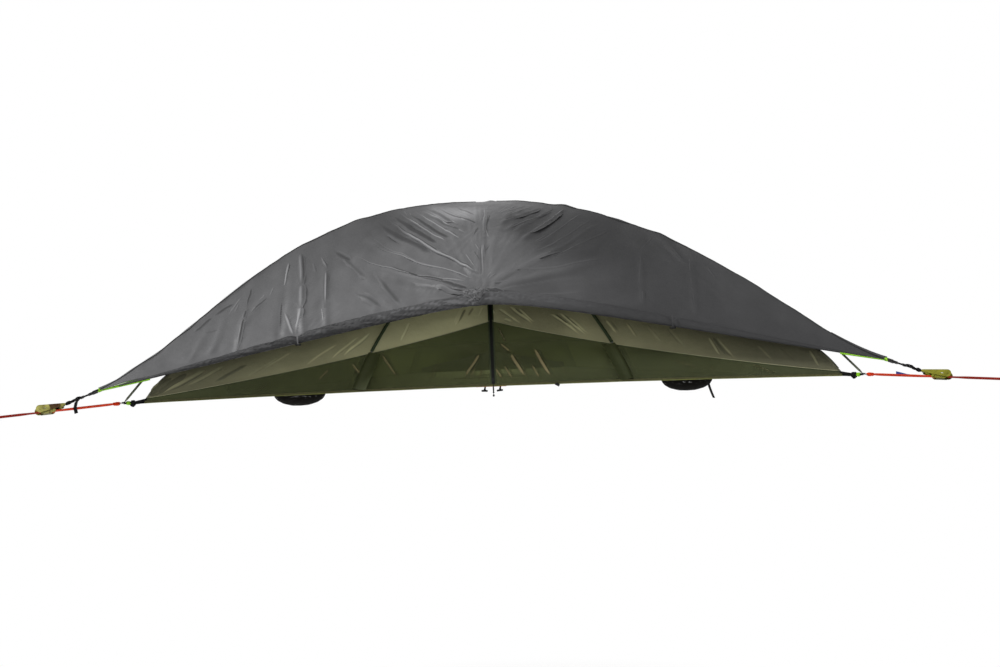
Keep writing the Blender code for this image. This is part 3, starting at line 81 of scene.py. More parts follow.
class Field:
    def __init__(self, nodes, socket):
        self.nodes = nodes
        self.socket = socket

    def join(self, operation, first, second=0.0):
        return self.nodes.node("ShaderNodeMath", {"operation": operation}, {0: first, 1: second})

    def __add__(self, other):
        return self.join("ADD", self, other)

    def __radd__(self, other):
        return self.join("ADD", other, self)

    def __sub__(self, other):
        return self.join("SUBTRACT", self, other)

    def __rsub__(self, other):
        return self.join("SUBTRACT", other, self)

    def __mul__(self, other):
        return self.join("MULTIPLY", self, other)

    def __rmul__(self, other):
        return self.join("MULTIPLY", other, self)

    def __truediv__(self, other):
        return self.join("DIVIDE", self, other)

    def __gt__(self, other):
        return self.join("GREATER_THAN", self, other)

    def __lt__(self, other):
        return self.join("LESS_THAN", self, other)

    def __abs__(self):
        return self.join("ABSOLUTE", self)

    def sine(self):
        return self.join("SINE", self)

    def fraction(self):
        return self.join("FRACT", self)

    def root(self):
        return self.join("SQRT", self)

    def most(self, other):
        return self.join("MAXIMUM", self, other)

    def kept(self, low, high):  # 0 at low, 1 at high, held between
        return self.nodes.node("ShaderNodeMapRange", {"interpolation_type": "SMOOTHSTEP"},
                               {"Value": self, "From Min": low, "From Max": high})


class Nodes:  # makes and links the nodes of one tree
    def __init__(self, tree):
        self.tree = tree

    def feed(self, socket, value):
        if isinstance(value, Field):
            self.tree.links.new(value.socket, socket)
        else:
            socket.default_value = value

    def node(self, kind, settings, sockets, output=0):
        made = self.tree.nodes.new(kind)
        for key, value in settings.items():
            setattr(made, key, value)
        for key, value in sockets.items():
            self.feed(made.inputs[key], value)
        return Field(self, made.outputs[output])

    def rays(self, *names):  # whether a ray is of each kind named
        path = self.node("ShaderNodeLightPath", {}, {}).socket.node
        return [Field(self, path.outputs[f"Is {name} Ray"]) for name in names]


class Paint(Nodes):
    def __init__(self, name, roughness, specular, metallic=0.0):
        self.material = bpy.data.materials.new(name)
        self.material.use_nodes = True
        super().__init__(self.material.node_tree)
        self.shader = self.tree.nodes["Principled BSDF"]
        self.set("Roughness", roughness)
        self.set("Specular IOR Level", specular)
        self.set("Metallic", metallic)

    def set(self, socket, value):
        self.feed(self.shader.inputs[socket], value)

    def spot(self):  # place on the object, in metres
        return self.node("ShaderNodeTexCoord", {}, {}, "Object")

    def flat(self):  # place on the cloth as cut, in metres
        return self.node("ShaderNodeUVMap", {"uv_map": "flat"}, {})

    def split(self, vector):
        node = self.node("ShaderNodeSeparateXYZ", {}, {"Vector": vector}).socket.node
        return [Field(self, socket) for socket in node.outputs]

    def stretched(self, vector, scale):
        return self.node("ShaderNodeVectorMath", {"operation": "MULTIPLY"}, {0: vector, 1: scale})

    def cloud(self, vector, scale, detail=2.0, rough=0.5):
        return self.node("ShaderNodeTexNoise", {}, {"Vector": vector, "Scale": scale, "Detail": detail,
                                                    "Roughness": rough})

    def blend(self, factor, first, second):
        return self.node("ShaderNodeMix", {"data_type": "RGBA"}, {0: factor, 6: first, 7: second}, 2)

    def crease(self):  # painted highlights and painted shade of the folds, and broad painted light and shade, kept on the mesh
        return self.node("ShaderNodeAttribute", {"attribute_name": "crease"}, {}, "Fac")

    def folded(self, colour, pale, deep):
        mark = self.crease()
        # paler towards the painted highlights, darker towards the painted shade
        colour = self.blend(mark.kept(0.02, 0.75) * 0.8, colour, pale)
        return self.blend((mark * -1).kept(0.02, 0.75) * 0.78, colour, deep)

    def bump(self, height, strength, distance):
        made = self.node("ShaderNodeBump", {}, {"Height": height, "Strength": strength, "Distance": distance})
        self.set("Normal", made)


def tone(red, green, blue):  # a colour read off a screen, 0 to 255, as the shader wants it
    scaled = [value / 255 for value in (red, green, blue)]
    return (*(value / 12.92 if value < 0.04045 else ((value + 0.055) / 1.055) ** 2.4 for value in scaled), 1)


def lighter(colour, share):
    return (*(min(value * share, 1) for value in colour[:3]), 1)


def squares(across, along, size, share):  # the fine lines of a ripstop weave, each a share of its square
    return ((across / size).fraction() < share).most((along / size).fraction() < share)


cloth = {"roughness": 0.7, "patch": 2.0, "square": 0.007, "threads": 5200, "sheer": 0.36, "sheerFrom": -0.72}


def clothPaint(name, dark, light, specular=0.25, crease=0.5, pale=None, deep=0.5, sheer=None):
    # thin woven cloth: faint reinforcing squares, a fine weave, patches of tone, small creases, folds marked
    # with painted highlights and shade;
    # sheer "front" lets light through the low middle of the front panel, "folds" shows the painted fold marks
    # alone
    paint = Paint(name, cloth["roughness"], specular)
    place = paint.spot()
    across, along, _ = paint.split(paint.flat())
    tint = paint.cloud(place, cloth["patch"], 4.0).kept(0.3, 0.7)
    square = squares(across, along, cloth["square"], 0.12)
    weave = (across * cloth["threads"]).sine() * (along * cloth["threads"]).sine()
    colour = paint.blend(tint * 0.85 + square * 0.15, dark, light)
    # pale and deep colour the painted highlights and painted shade kept on the mesh
    paint.set("Base Color", paint.folded(colour, pale or lighter(light, 1.75), lighter(dark, deep)))
    if sheer == "front":
        x, y, z = paint.split(place)
        middle = (y < cloth["sheerFrom"]) * (1 - abs(x).kept(1.2, 1.7))
        paint.set("Alpha", 1 - cloth["sheer"] * (middle * (1 - z.kept(0.15, 0.30))))
    if sheer == "folds":
        paint.set("Alpha", abs(paint.crease()).kept(0.02, 0.5))
    small = paint.cloud(place, 38, 3.0)
    paint.set("Roughness", cloth["roughness"] - 0.12 + 0.24 * small)
    wide = paint.cloud(place, 9, 5.0)
    paint.bump(wide * 3 * crease + small * crease + square * 0.06 + weave * 0.03, 0.55, 0.004)
    return paint


def webbingPaint(name, dark, light, width=0.025, thread=None, specular=0.25):
    # flat webbing: slanted ribs that meet in the middle, firm edges and two rows of stitches
    paint = Paint(name, 0.75, specular)
    across, along, _ = paint.split(paint.flat())
    middle = abs(across - width / 2)
    rib = ((along + middle) * 2600).sine()
    edge = middle.kept(width * 0.44, width * 0.5)
    wear = paint.cloud(paint.spot(), 60, 4.0).kept(0.35, 0.75)
    colour = paint.blend(wear * 0.6 + rib * 0.12 + 0.12, dark, light)
    if thread:
        row = abs(middle - width * 0.36) < 0.0009
        stitch = row * ((along * 220).fraction() < 0.62)
        colour = paint.blend(stitch, colour, thread)
    paint.set("Base Color", colour)
    paint.bump(rib * 0.5 + edge * 1.2 + wear * 0.4, 0.5, 0.0008)
    return paint


def metalPaint(name, deep, bright, roughness, stain=None, grip=None):
    # plated steel: cloudy plating, drawn scratches, duller stained patches and, on a handle, a dark band round
    # the grip painted as painted shade
    paint = Paint(name, roughness, 0.5, 1.0)
    place = paint.spot()
    plating = paint.cloud(place, 24, 3.0).kept(0.3, 0.7)
    scratches = paint.cloud(paint.stretched(place, (1, 6, 1)), 160, 3.0, 0.65)
    colour = paint.blend(plating * 0.8 + scratches * 0.2, deep, bright)
    if stain:
        colour = paint.blend(paint.cloud(place, 38, 3.0, 0.6).kept(0.6, 0.74), colour, stain)
    if grip:
        # painted shade: a dark band round the grip, between two distances from the given point
        away = paint.node("ShaderNodeVectorMath", {"operation": "DISTANCE"}, {0: place, 1: grip[0]}, "Value")
        gripShade = away.kept(0.054, 0.060) * (1 - away.kept(0.110, 0.118))
        colour = paint.blend(gripShade * (0.75 + 0.25 * plating), colour, grip[1])
    paint.set("Base Color", colour)
    paint.set("Roughness", roughness - 0.1 + 0.22 * scratches + 0.16 * plating)
    paint.bump(scratches + plating * 0.5, 0.25, 0.0002)
    return paint


def plasticPaint(name, deep, bright):
    # moulded plastic: fine spark-eroded grain, scuffed a little
    paint = Paint(name, 0.45, 0.2)
    place = paint.spot()
    grain = paint.cloud(place, 1500, 2.0)
    scuff = paint.cloud(place, 90, 4.0).kept(0.45, 0.75)
    paint.set("Base Color", paint.blend(scuff * 0.7 + grain * 0.2, deep, bright))
    paint.set("Roughness", 0.45 + 0.18 * scuff)
    paint.bump(grain, 0.3, 0.0002)
    return paint


def flyPaint(name, dark, pale, roughness=0.46):
    # coated nylon, painted paler on the left and darker on the right as painted light from the left, with
    # painted fold highlights brighter on the left; it is also shinier there
    paint = Paint(name, roughness, 0.28)
    place = paint.spot()
    x, _, _ = paint.split(place)
    across, along, _ = paint.split(paint.flat())
    # painted light from the left: the cloth's colour grows paler towards the left
    side = (x * -1 + paint.cloud(place, 0.9, 2.0) * 0.5).kept(-0.55, 0.35)
    patch = paint.cloud(place, 5.5, 5.0).kept(0.3, 0.72)
    square = squares(across, along, 0.006, 0.13)
    shadedSideTint = paint.blend(patch, lighter(dark, 0.88), dark)
    litSideTint = paint.blend(patch, lighter(pale, 0.88), pale)
    colour = paint.blend(side * 0.95 + square * 0.05, shadedSideTint, litSideTint)
    shine = paint.blend(side, lighter(dark, 1.7), lighter(pale, 2.3))
    paint.set("Base Color", paint.folded(colour, shine, lighter(dark, 0.6)))
    small = paint.cloud(place, 30, 4.0)
    paint.set("Roughness", roughness - 0.08 * side + 0.16 * small)
    crease = paint.cloud(paint.stretched(place, (1, 1.8, 1.8)), 7, 6.0, 0.62)
    paint.bump(crease * 2.4 + small * 0.6 + square * 0.05, 0.35, 0.005)
    return paint


netCell = 0.0045


def netPaint(name, colour):
    # knotted net: open squares between round threads
    paint = Paint(name, 0.85, 0.06)
    lines = [abs((place / netCell).fraction() - 0.5) > 0.22 for place in paint.split(paint.flat())[:2]]
    thread = lines[0].most(lines[1])
    tint = paint.cloud(paint.spot(), 25, 3.0)
    paint.set("Base Color", paint.blend(tint, colour, lighter(colour, 2.2)))
    paint.set("Alpha", thread)
    paint.bump(thread + tint, 0.4, 0.0006)
    return paint


def zipPaint(name):
    paint = Paint(name, 0.5, 0.12)
    _, along, _ = paint.split(paint.flat())
    tooth = (along * 1800).sine().kept(-0.2, 0.6)
    wear = paint.cloud(paint.spot(), 120, 3.0)
    paint.set("Base Color", paint.blend(tooth * 0.7 + wear * 0.3, tone(3, 3, 3), tone(14, 14, 13)))
    paint.bump(tooth, 0.7, 0.0006)
    return paint


zinc = (tone(84, 80, 40), tone(168, 164, 94))
zincStain = tone(84, 58, 38)
paints = {
    "fly": flyPaint("coatedGreyCloth", tone(44, 44, 45), tone(92, 92, 93)),
    # the rolled hem: a darker copy of the fly's cloth, as painted shade inside the roll
    "roll": flyPaint("rolledShadedGreyCloth", tone(32, 32, 33), tone(60, 60, 61), 0.55),
    # ridge seams: painted near black as painted shade of the fly's far side at the ridges
    "seam": clothPaint("ridgeSeamShadedCloth", tone(26, 26, 27), tone(40, 40, 41), crease=0.2),
    "canopy": clothPaint("paleOliveCloth", tone(104, 103, 78), tone(126, 124, 94), crease=0.7,
                         pale=tone(192, 190, 146), deep=0.16),
    # the canopy's turned edge, painted paler than the canopy as a painted highlight
    "edge": clothPaint("seamHighlightCloth", tone(118, 116, 90), tone(140, 138, 108), crease=0.2),
    "wall": clothPaint("darkGreenCloth", tone(44, 49, 22), tone(57, 61, 31), crease=0.3, sheer="front"),
    # fold strips over the wall, showing only their painted highlights and painted shade
    "wallFold": clothPaint("wallFoldCloth", tone(54, 58, 30), tone(64, 66, 38), crease=0.2,
                           pale=tone(116, 104, 74), sheer="folds"),
    # pole covers, painted darker than the wall as painted shade
    "cover": clothPaint("poleCoverCloth", tone(35, 40, 16), tone(47, 51, 23), crease=0.3),
    "ridge": webbingPaint("ridgeTape", tone(62, 62, 46), tone(84, 82, 64), 0.024),
    "floor": clothPaint("floorCloth", tone(38, 41, 24), tone(50, 53, 34), specular=0.15),
    "binding": webbingPaint("oliveBinding", tone(52, 52, 28), tone(72, 70, 42), 0.010),
    "piping": webbingPaint("olivePiping", tone(84, 88, 36), tone(110, 112, 56), 0.010),
    "sleeve": clothPaint("sleeveCloth", tone(20, 30, 12), tone(34, 46, 22), crease=0.4),
    "blackWebbing": webbingPaint("blackWebbing", tone(6, 6, 6), tone(18, 18, 19), thread=tone(40, 40, 40),
                                 specular=0.1),
    "greyTape": webbingPaint("greyTape", tone(78, 82, 68), tone(108, 112, 96), 0.020),
    "orange": webbingPaint("orangeWebbing", tone(176, 38, 8), tone(216, 66, 20), thread=tone(206, 84, 40),
                           specular=0.12),
    "treeOrange": webbingPaint("treeStrapWebbing", tone(118, 16, 4), tone(158, 32, 8),
                               thread=tone(150, 48, 22), specular=0.1),
    "lime": webbingPaint("limeTape", tone(104, 160, 20), tone(150, 206, 48), 0.02),
    "blue": clothPaint("blueTape", tone(18, 44, 104), tone(30, 64, 136), crease=0.2),
    "redThread": webbingPaint("redThread", tone(110, 44, 24), tone(140, 60, 34), 0.002),
    "net": netPaint("pouchNet", tone(12, 11, 9)),
    "pocket": clothPaint("pocketCloth", tone(8, 9, 7), tone(16, 17, 13), specular=0.1),
    "tape": clothPaint("zipTapeCloth", tone(30, 38, 20), tone(42, 50, 28), crease=0.2),
    "zip": zipPaint("zipTeeth"),
    "plastic": plasticPaint("blackPlastic", tone(6, 6, 6), tone(22, 22, 22)),
    "yellowZinc": metalPaint("yellowZincPlate", *zinc, 0.42, zincStain),
    # the right ratchet's plate: a darker, greener copy of the zinc plate
    "oliveZinc": metalPaint("oliveZincPlate", tone(56, 56, 16), tone(106, 104, 38), 0.46, tone(50, 40, 20)),
    "steel": metalPaint("bareSteel", tone(96, 97, 98), tone(164, 165, 166), 0.3),
    "alloy": metalPaint("poleAlloy", tone(72, 76, 72), tone(110, 114, 110), 0.36),
}
print("materials made")


# modelling helpers

def deselect():
    if bpy.context.mode != "OBJECT":
        bpy.ops.object.mode_set(mode="OBJECT")
    bpy.ops.object.select_all(action="DESELECT")


def pick(piece):
    deselect()
    piece.select_set(True)
    bpy.context.view_layer.objects.active = piece


def shaped(piece, kind, **settings):  # one modifier, applied at once
    pick(piece)
    step = piece.modifiers.new(kind.lower(), kind)
    for key, value in settings.items():
        setattr(step, key, value)
    bpy.ops.object.modifier_apply(modifier=step.name)


def named(name):  # gives the object just added its name
    piece = bpy.context.object
    piece.name = piece.data.name = name
    return piece


def settled(piece, smooth):  # place and turn go into the mesh, faces look out
    pick(piece)
    bpy.ops.object.transform_apply(location=True, rotation=True, scale=True)
    work = bmesh.new()
    work.from_mesh(piece.data)
    if work.calc_volume(signed=True) < 0:
        bmesh.ops.reverse_faces(work, faces=work.faces)
        work.to_mesh(piece.data)
    work.free()
    bpy.ops.object.shade_smooth_by_angle(angle=math.radians(smooth))
    return piece


def asPoints(path):
    return np.array([tuple(point) for point in path], float)


def unit(vectors):
    return vectors / np.linalg.norm(vectors, axis=1, keepdims=True)


def distances(path):  # how far along the path each point is
    return np.concatenate([[0], np.cumsum(np.linalg.norm(np.diff(path, axis=0), axis=1))])


def lengthMarks(points):
    u, v = distances(points[points.shape[0] // 2]), distances(points[:, points.shape[1] // 2])
    return np.stack(np.meshgrid(u, v), axis=-1)


mergeReach = 0.00002


def makeSheet(name, points, thickness, side=-1, marks=None, smooth=50, creases=None):
    # a grid laid through rows of points, its map in metres, then given its thickness
    points = np.asarray(points, float)
    rows, columns = points.shape[0] - 1, points.shape[1] - 1
    deselect()
    bpy.ops.mesh.primitive_grid_add(x_subdivisions=columns, y_subdivisions=rows, size=2)
    piece = named(name)
    mesh = piece.data
    flat = np.empty(len(mesh.vertices) * 3)
    mesh.vertices.foreach_get("co", flat)
    flat = flat.reshape(-1, 3)
    column = np.rint((flat[:, 0] + 1) / 2 * columns).astype(int)
    row = np.rint((flat[:, 1] + 1) / 2 * rows).astype(int)
    mesh.vertices.foreach_set("co", points[row, column].ravel())
    marks = lengthMarks(points) if marks is None else marks
    corner = np.empty(len(mesh.loops), int)
    mesh.loops.foreach_get("vertex_index", corner)
    layer = mesh.uv_layers[0]
    layer.name = "flat"
    layer.data.foreach_set("uv", marks[row[corner], column[corner]].ravel())
    if creases is not None:
        crease = mesh.attributes.new("crease", "FLOAT", "POINT")
        crease.data.foreach_set("value", creases[row, column].ravel())
    mesh.update()
    pick(piece)
    bpy.ops.object.mode_set(mode="EDIT")
    bpy.ops.mesh.select_all(action="SELECT")
    bpy.ops.mesh.remove_doubles(threshold=mergeReach)
    bpy.ops.object.mode_set(mode="OBJECT")
    if thickness:
        shaped(piece, "SOLIDIFY", thickness=thickness, offset=side)
    return settled(piece, smooth)


def lifted(points, amount, closed=False):  # each point moved along the sheet's normal
    across = np.gradient(points, axis=1)
    if closed:
        across[:, 0] = across[:, -1] = points[:, 1] - points[:, -2]
    down = np.gradient(points, axis=0)
    normal = np.cross(across, down)
    size = np.linalg.norm(normal, axis=2, keepdims=True)
    return points + np.where(size > 1e-9, normal / np.maximum(size, 1e-9), 0) * amount[..., None]


def crinkle(points, size, seed, upright=1.0):
    scale = np.array((1, 1, upright)) / size
    flat = (points.reshape(-1, 3) * scale + seed * 7.31)
    return np.array([noise.noise(Vector(point)) for point in flat]).reshape(points.shape[:2])


def waves(points, parts):  # crinkles added up: the size, seed, share and upright stretch of each
    return sum(share * crinkle(points, size, seed, upright) for size, seed, share, upright in parts)


def eased(value):
    value = np.clip(value, 0, 1)
    return value * value * (3 - 2 * value)


def resampled(path, count):
    path = asPoints(path)
    reach = distances(path)
    wanted = np.linspace(0, reach[-1], count)
    return np.stack([np.interp(wanted, reach, path[:, i]) for i in range(path.shape[1])], axis=1)


def makeBand(name, path, width, thickness, sides, columns=4, crown=0.0):
    # flat webbing along a path: sides is the way across it, one for all or one for each point
    path = asPoints(path)
    sides = unit(np.array(sides, float) * np.ones((len(path), 1)))
    up = np.cross(np.gradient(path, axis=0), sides)
    up /= np.maximum(np.linalg.norm(up, axis=1, keepdims=True), 1e-9)
    steps = np.linspace(-0.5, 0.5, columns + 1)
    rows = path[:, None] + sides[:, None] * (steps * width)[None, :, None]
    rows = rows + up[:, None] * (crown * (1 - 4 * steps ** 2))[None, :, None]
    return makeSheet(name, rows, thickness, 0, smooth=35)


def makeTube(name, path, radius, sides, closed=False, sizes=1.0):
    # a round bar along a path, its radius times sizes at each point, ends drawn shut
    path = asPoints(path)
    along = np.gradient(path, axis=0)
    if closed:
        along[0] = along[-1] = path[1] - path[-2]
    along = unit(along)
    across = np.cross(along, (0, 0, 1))
    flat = np.linalg.norm(across, axis=1, keepdims=True)
    across = np.where(flat > 0.05, across / np.maximum(flat, 1e-9), (1, 0, 0))
    up = np.cross(across, along)
    turns = np.linspace(0, 2 * math.pi, sides + 1)[None, :, None]
    sizes = (sizes * np.ones(len(path)))[:, None, None]
    rows = (path[:, None] + across[:, None] * np.cos(turns) * radius * sizes
            + up[:, None] * np.sin(turns) * radius * sizes)
    if not closed:
        start, stop = [np.repeat(end[None, None], sides + 1, 1) for end in (path[0], path[-1])]
        rows = np.concatenate([start, rows, stop])
    return makeSheet(name, rows, 0, smooth=60)


def makeLump(name, matrix, half, rough, seed, level=4, ridged=True):
    # a knot or bunch of cloth: a rounded form pushed in and out along its creases
    deselect()
    bpy.ops.mesh.primitive_ico_sphere_add(subdivisions=level, radius=1)
    lump = named(name)
    for vertex in lump.data.vertices:
        spot = vertex.co * 1.7 + Vector((seed, seed * 2.3, 0))
        push = noise.noise(spot) + 0.5 * noise.noise(spot * 2.3)
        if ridged:
            push += 1.1 * (0.3 - abs(noise.noise(spot * 0.9 + Vector((9, 0, 0)))))
        grown = vertex.co * (1 + rough * push)
        vertex.co = Vector([value * size for value, size in zip(grown, half)])
    lump.data.transform(matrix)
    return settled(lump, 70)


def makeBarrel(name, sides, radius, length, place, tilt, edge):  # a toggle's round bar, its ends eased
    deselect()
    bpy.ops.mesh.primitive_cylinder_add(vertices=sides, radius=radius, depth=length, location=place,
                                        rotation=np.radians(tilt))
    barrel = named(name)
    shaped(barrel, "BEVEL", width=edge, segments=3)
    return settled(barrel, 40)


def cutBlock(name, size, cuts):  # a block cut through at places along x and y
    deselect()
    bpy.ops.mesh.primitive_cube_add(size=1)
    block = named(name)
    block.scale = size
    bpy.ops.object.transform_apply(scale=True)
    bpy.ops.object.mode_set(mode="EDIT")
    for x, y in cuts:
        bpy.ops.mesh.select_all(action="SELECT")
        bpy.ops.mesh.bisect(plane_co=(x, y, 0), plane_no=(float(y == 0), float(y != 0), 0))
    bpy.ops.mesh.select_all(action="DESELECT")
    bpy.ops.object.mode_set(mode="OBJECT")
    return block


pleat = {"step": 0.018, "columns": 9, "rise": 0.20, "least": 0.0012, "sunk": 0.0006, "thickness": 0.0006,
         "sway": 0.010}


def makePleats(name, sheet, lines, paint, downwards=False, tint=None, strong=1.0, spread=1.2):
    # narrow raised folds on a sheet, found by looking down on it or at its front: start, end, width, strength;
    # each is painted with a highlight and a shade beside it; a negative one is a crease painted dark as
    # painted shade
    faces = [face.vertices for face in sheet.data.polygons]
    surface = BVHTree.FromPolygons([vertex.co for vertex in sheet.data.vertices], faces)
    steps = np.linspace(-1, 1, pleat["columns"])
    strips = []
    for index, (x1, y1, x2, y2, width, strength) in enumerate(lines):
        size = math.hypot(x2 - x1, y2 - y1)
        hits = []
        for t in np.linspace(0, 1, max(10, round(size / pleat["step"]))):
            sway = pleat["sway"] * min(size / 0.4, 1) * noise.noise(Vector((index * 3.7, t * 2.2, 0))) / size
            a, b = x1 + (x2 - x1) * t - (y2 - y1) * sway, y1 + (y2 - y1) * t + (x2 - x1) * sway
            start, way = ((a, b, 3), (0, 0, -1)) if downwards else ((a, -4, b), (0, 1, 0))
            hit = surface.ray_cast(Vector(start), Vector(way))
            if hit[0]:
                hits.append((hit[0], hit[1]))
        if len(hits) < 6:
            continue
        spots, normals = [np.array([tuple(hit[i]) for hit in hits]) for i in (0, 1)]
        for _ in range(2):
            normals[1:-1] = (normals[:-2] + normals[1:-1] + normals[2:]) / 3
        across = unit(np.cross(normals, np.gradient(spots, axis=0)))
        if across.mean(axis=0) @ np.array((-0.5, -0.2, 0.8)) < 0:
            across = -across
        t = np.linspace(0, 1, len(spots))
        taper = eased(t / 0.15) * eased((1 - t) / 0.4)
        reach = width * spread * (0.45 + 0.55 * taper)
        rise = (pleat["least"] + width * pleat["rise"] * abs(strength)) * taper
        # painted highlight and painted shade across each fold
        if strength > 0:
            shade = np.exp(-((steps - 0.12) / 0.32) ** 2) - 0.7 * np.exp(-((steps + 0.52) / 0.26) ** 2)
        else:
            shade = np.exp(-(steps / 0.42) ** 2) - 0.35 * np.exp(-((steps - 0.72) / 0.2) ** 2)
        height = np.exp(-(steps / 0.42) ** 2)[None] * rise[:, None] - pleat["sunk"]
        rows = (spots[:, None] + across[:, None] * (steps[None] * reach[:, None])[..., None]
                + normals[:, None] * height[..., None])
        marks = strength * strong * taper[:, None] * shade[None]
        if tint:
            marks = marks + tint(rows[..., 0], rows[..., 1])
        strips.append(makeSheet(f"{name}{index}", rows, pleat["thickness"], -1, smooth=60, creases=marks))
    deselect()
    for strip in strips:
        strip.select_set(True)
    bpy.context.view_layer.objects.active = strips[0]
    bpy.ops.object.join()
    strips[0].name = strips[0].data.name = name
    return dressed(strips[0], paint)


def dressed(piece, paint, *nodes, body="tent"):
    piece.data.materials.clear()
    piece.data.materials.append(paints[paint].material)
    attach(piece, body)
    if nodes:
        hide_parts(*nodes)
    return piece


def carried(matrix, points):  # local points into the tent's own frame
    turn = np.array(matrix.to_3x3())
    return asPoints(points) @ turn.T + np.array(matrix.translation)


# outlines that the tent is cut to

def solve(function, low, high):
    rising = function(high) > function(low)
    for _ in range(50):
        middle = (low + high) / 2
        if (function(middle) > 0) == rising:
            high = middle
        else:
            low = middle
    return (low + high) / 2


def edgeLine(x, cut):
    return -cut["anchor"] * sin30 + cut["drawIn"] * (1 - (x / (cut["anchor"] * cos30)) ** 2)


def edgeEnd(cut):
    half = cut["tipWidth"] / 2
    return solve(lambda x: -(cos30 * edgeLine(x, cut) + sin30 * x) - half, 0, cut["anchor"] * cos30)


def turnedPoint(x, y, degrees):
    a = math.radians(degrees)
    return x * math.cos(a) - y * math.sin(a), x * math.sin(a) + y * math.cos(a)


def ringPlaces(front, others):  # side and share of each column round the tent, closed
    counts = (front, others, others)
    return [(side, share) for side in range(3) for share in np.linspace(-1, 1, counts[side])] + [(0, -1.0)]


# inner tent

floorCut = {"anchor": 2.37, "drawIn": 0.32, "tipWidth": 0.046, "thickness": 0.0018}
inner = {"inset": 0.004, "footHeight": 0.0018, "seamMiddle": 0.367, "seamCorner": 0.018, "seamFall": 1.15,
         "cornerShare": 0.966, "cornerPower": 1.5, "cornerDrop": 56, "blendPower": 3, "sag": 0.05,
         "top": 1.1041, "poleFlatten": 0.8, "thickness": 0.0015, "frontFoot": 0.80}
floorEnd = edgeEnd(floorCut)


def turnOfEdge(x):
    return math.degrees(math.atan2(edgeLine(x, floorCut), x))


# shares of each side where the poles' feet stand: a pole's rear foot is on the line from its front foot
frontShare = inner["frontFoot"] / floorEnd
rearTurn = -turnOfEdge(inner["frontFoot"]) - 120
rearShare = solve(lambda x: turnOfEdge(x) - rearTurn, 0, inner["frontFoot"]) / floorEnd
poleShares = ((-frontShare, frontShare), (rearShare,), (-rearShare,))


def canopyHeight(side, share, out):
    lines = [-1, *poleShares[side], 1]
    sag = 0
    for low, high in zip(lines, lines[1:]):
        if low <= share <= high:
            sag = inner["sag"] * math.sin(math.pi * (share - low) / (high - low))
    square = out * out
    arch = (1 - square) * (1 - inner["poleFlatten"] * square * (1 - square))
    corner = (1 - (inner["cornerShare"] * out) ** inner["cornerPower"]) * (1 - out ** inner["cornerDrop"])
    blend = abs(share) ** inner["blendPower"]
    return inner["top"] * (arch * (1 - blend) + corner * blend) * (1 - 4 * out * (1 - out) * sag)


def seamHeight(share):
    rise = inner["seamMiddle"] - inner["seamCorner"]
    return inner["seamCorner"] + rise * (1 - abs(share)) ** inner["seamFall"]


def seamOut(side, share):
    return solve(lambda out: canopyHeight(side, share, out) - seamHeight(share), sin30, 1)


def footPoint(side, share):
    x = share * floorEnd
    y = edgeLine(x, floorCut)
    scale = 1 - inner["inset"] / math.hypot(x, y)
    return turnedPoint(x * scale, y * scale, 120 * side)


def fold(seen, start, stop, width):
    # height of a fold along a line, and the light and dark that its two sides catch
    start, stop = np.array(start), np.array(stop)
    way = stop - start
    size = np.linalg.norm(way)
    along = ((seen - start) @ way) / size ** 2
    left = np.array((-way[1], way[0])) / size
    off = (seen - start) @ left * (1 if left @ np.array((-0.5, 0.8)) > 0 else -1)
    near = np.linalg.norm(seen - start - np.clip(along, 0, 1)[..., None] * way, axis=-1)
    taper = eased(along / 0.12 + 0.35) * eased((1.05 - along) / 0.4) * (near < 4 * width)
    height = np.exp(-(near / width) ** 2) - 0.4 * np.exp(-(near / (2.3 * width)) ** 2)
    light = (np.exp(-((off - 0.35 * width) / (0.7 * width)) ** 2)
             - 0.7 * np.exp(-((off + 1.0 * width) / (0.9 * width)) ** 2))
    return taper * height, taper * light


canopyFolds = {"front": 260, "others": 60, "rows": 54, "depth": 0.006,
               "waves": ((0.16, 3, 0.7, 1), (0.05, 5, 0.35, 0.5))}
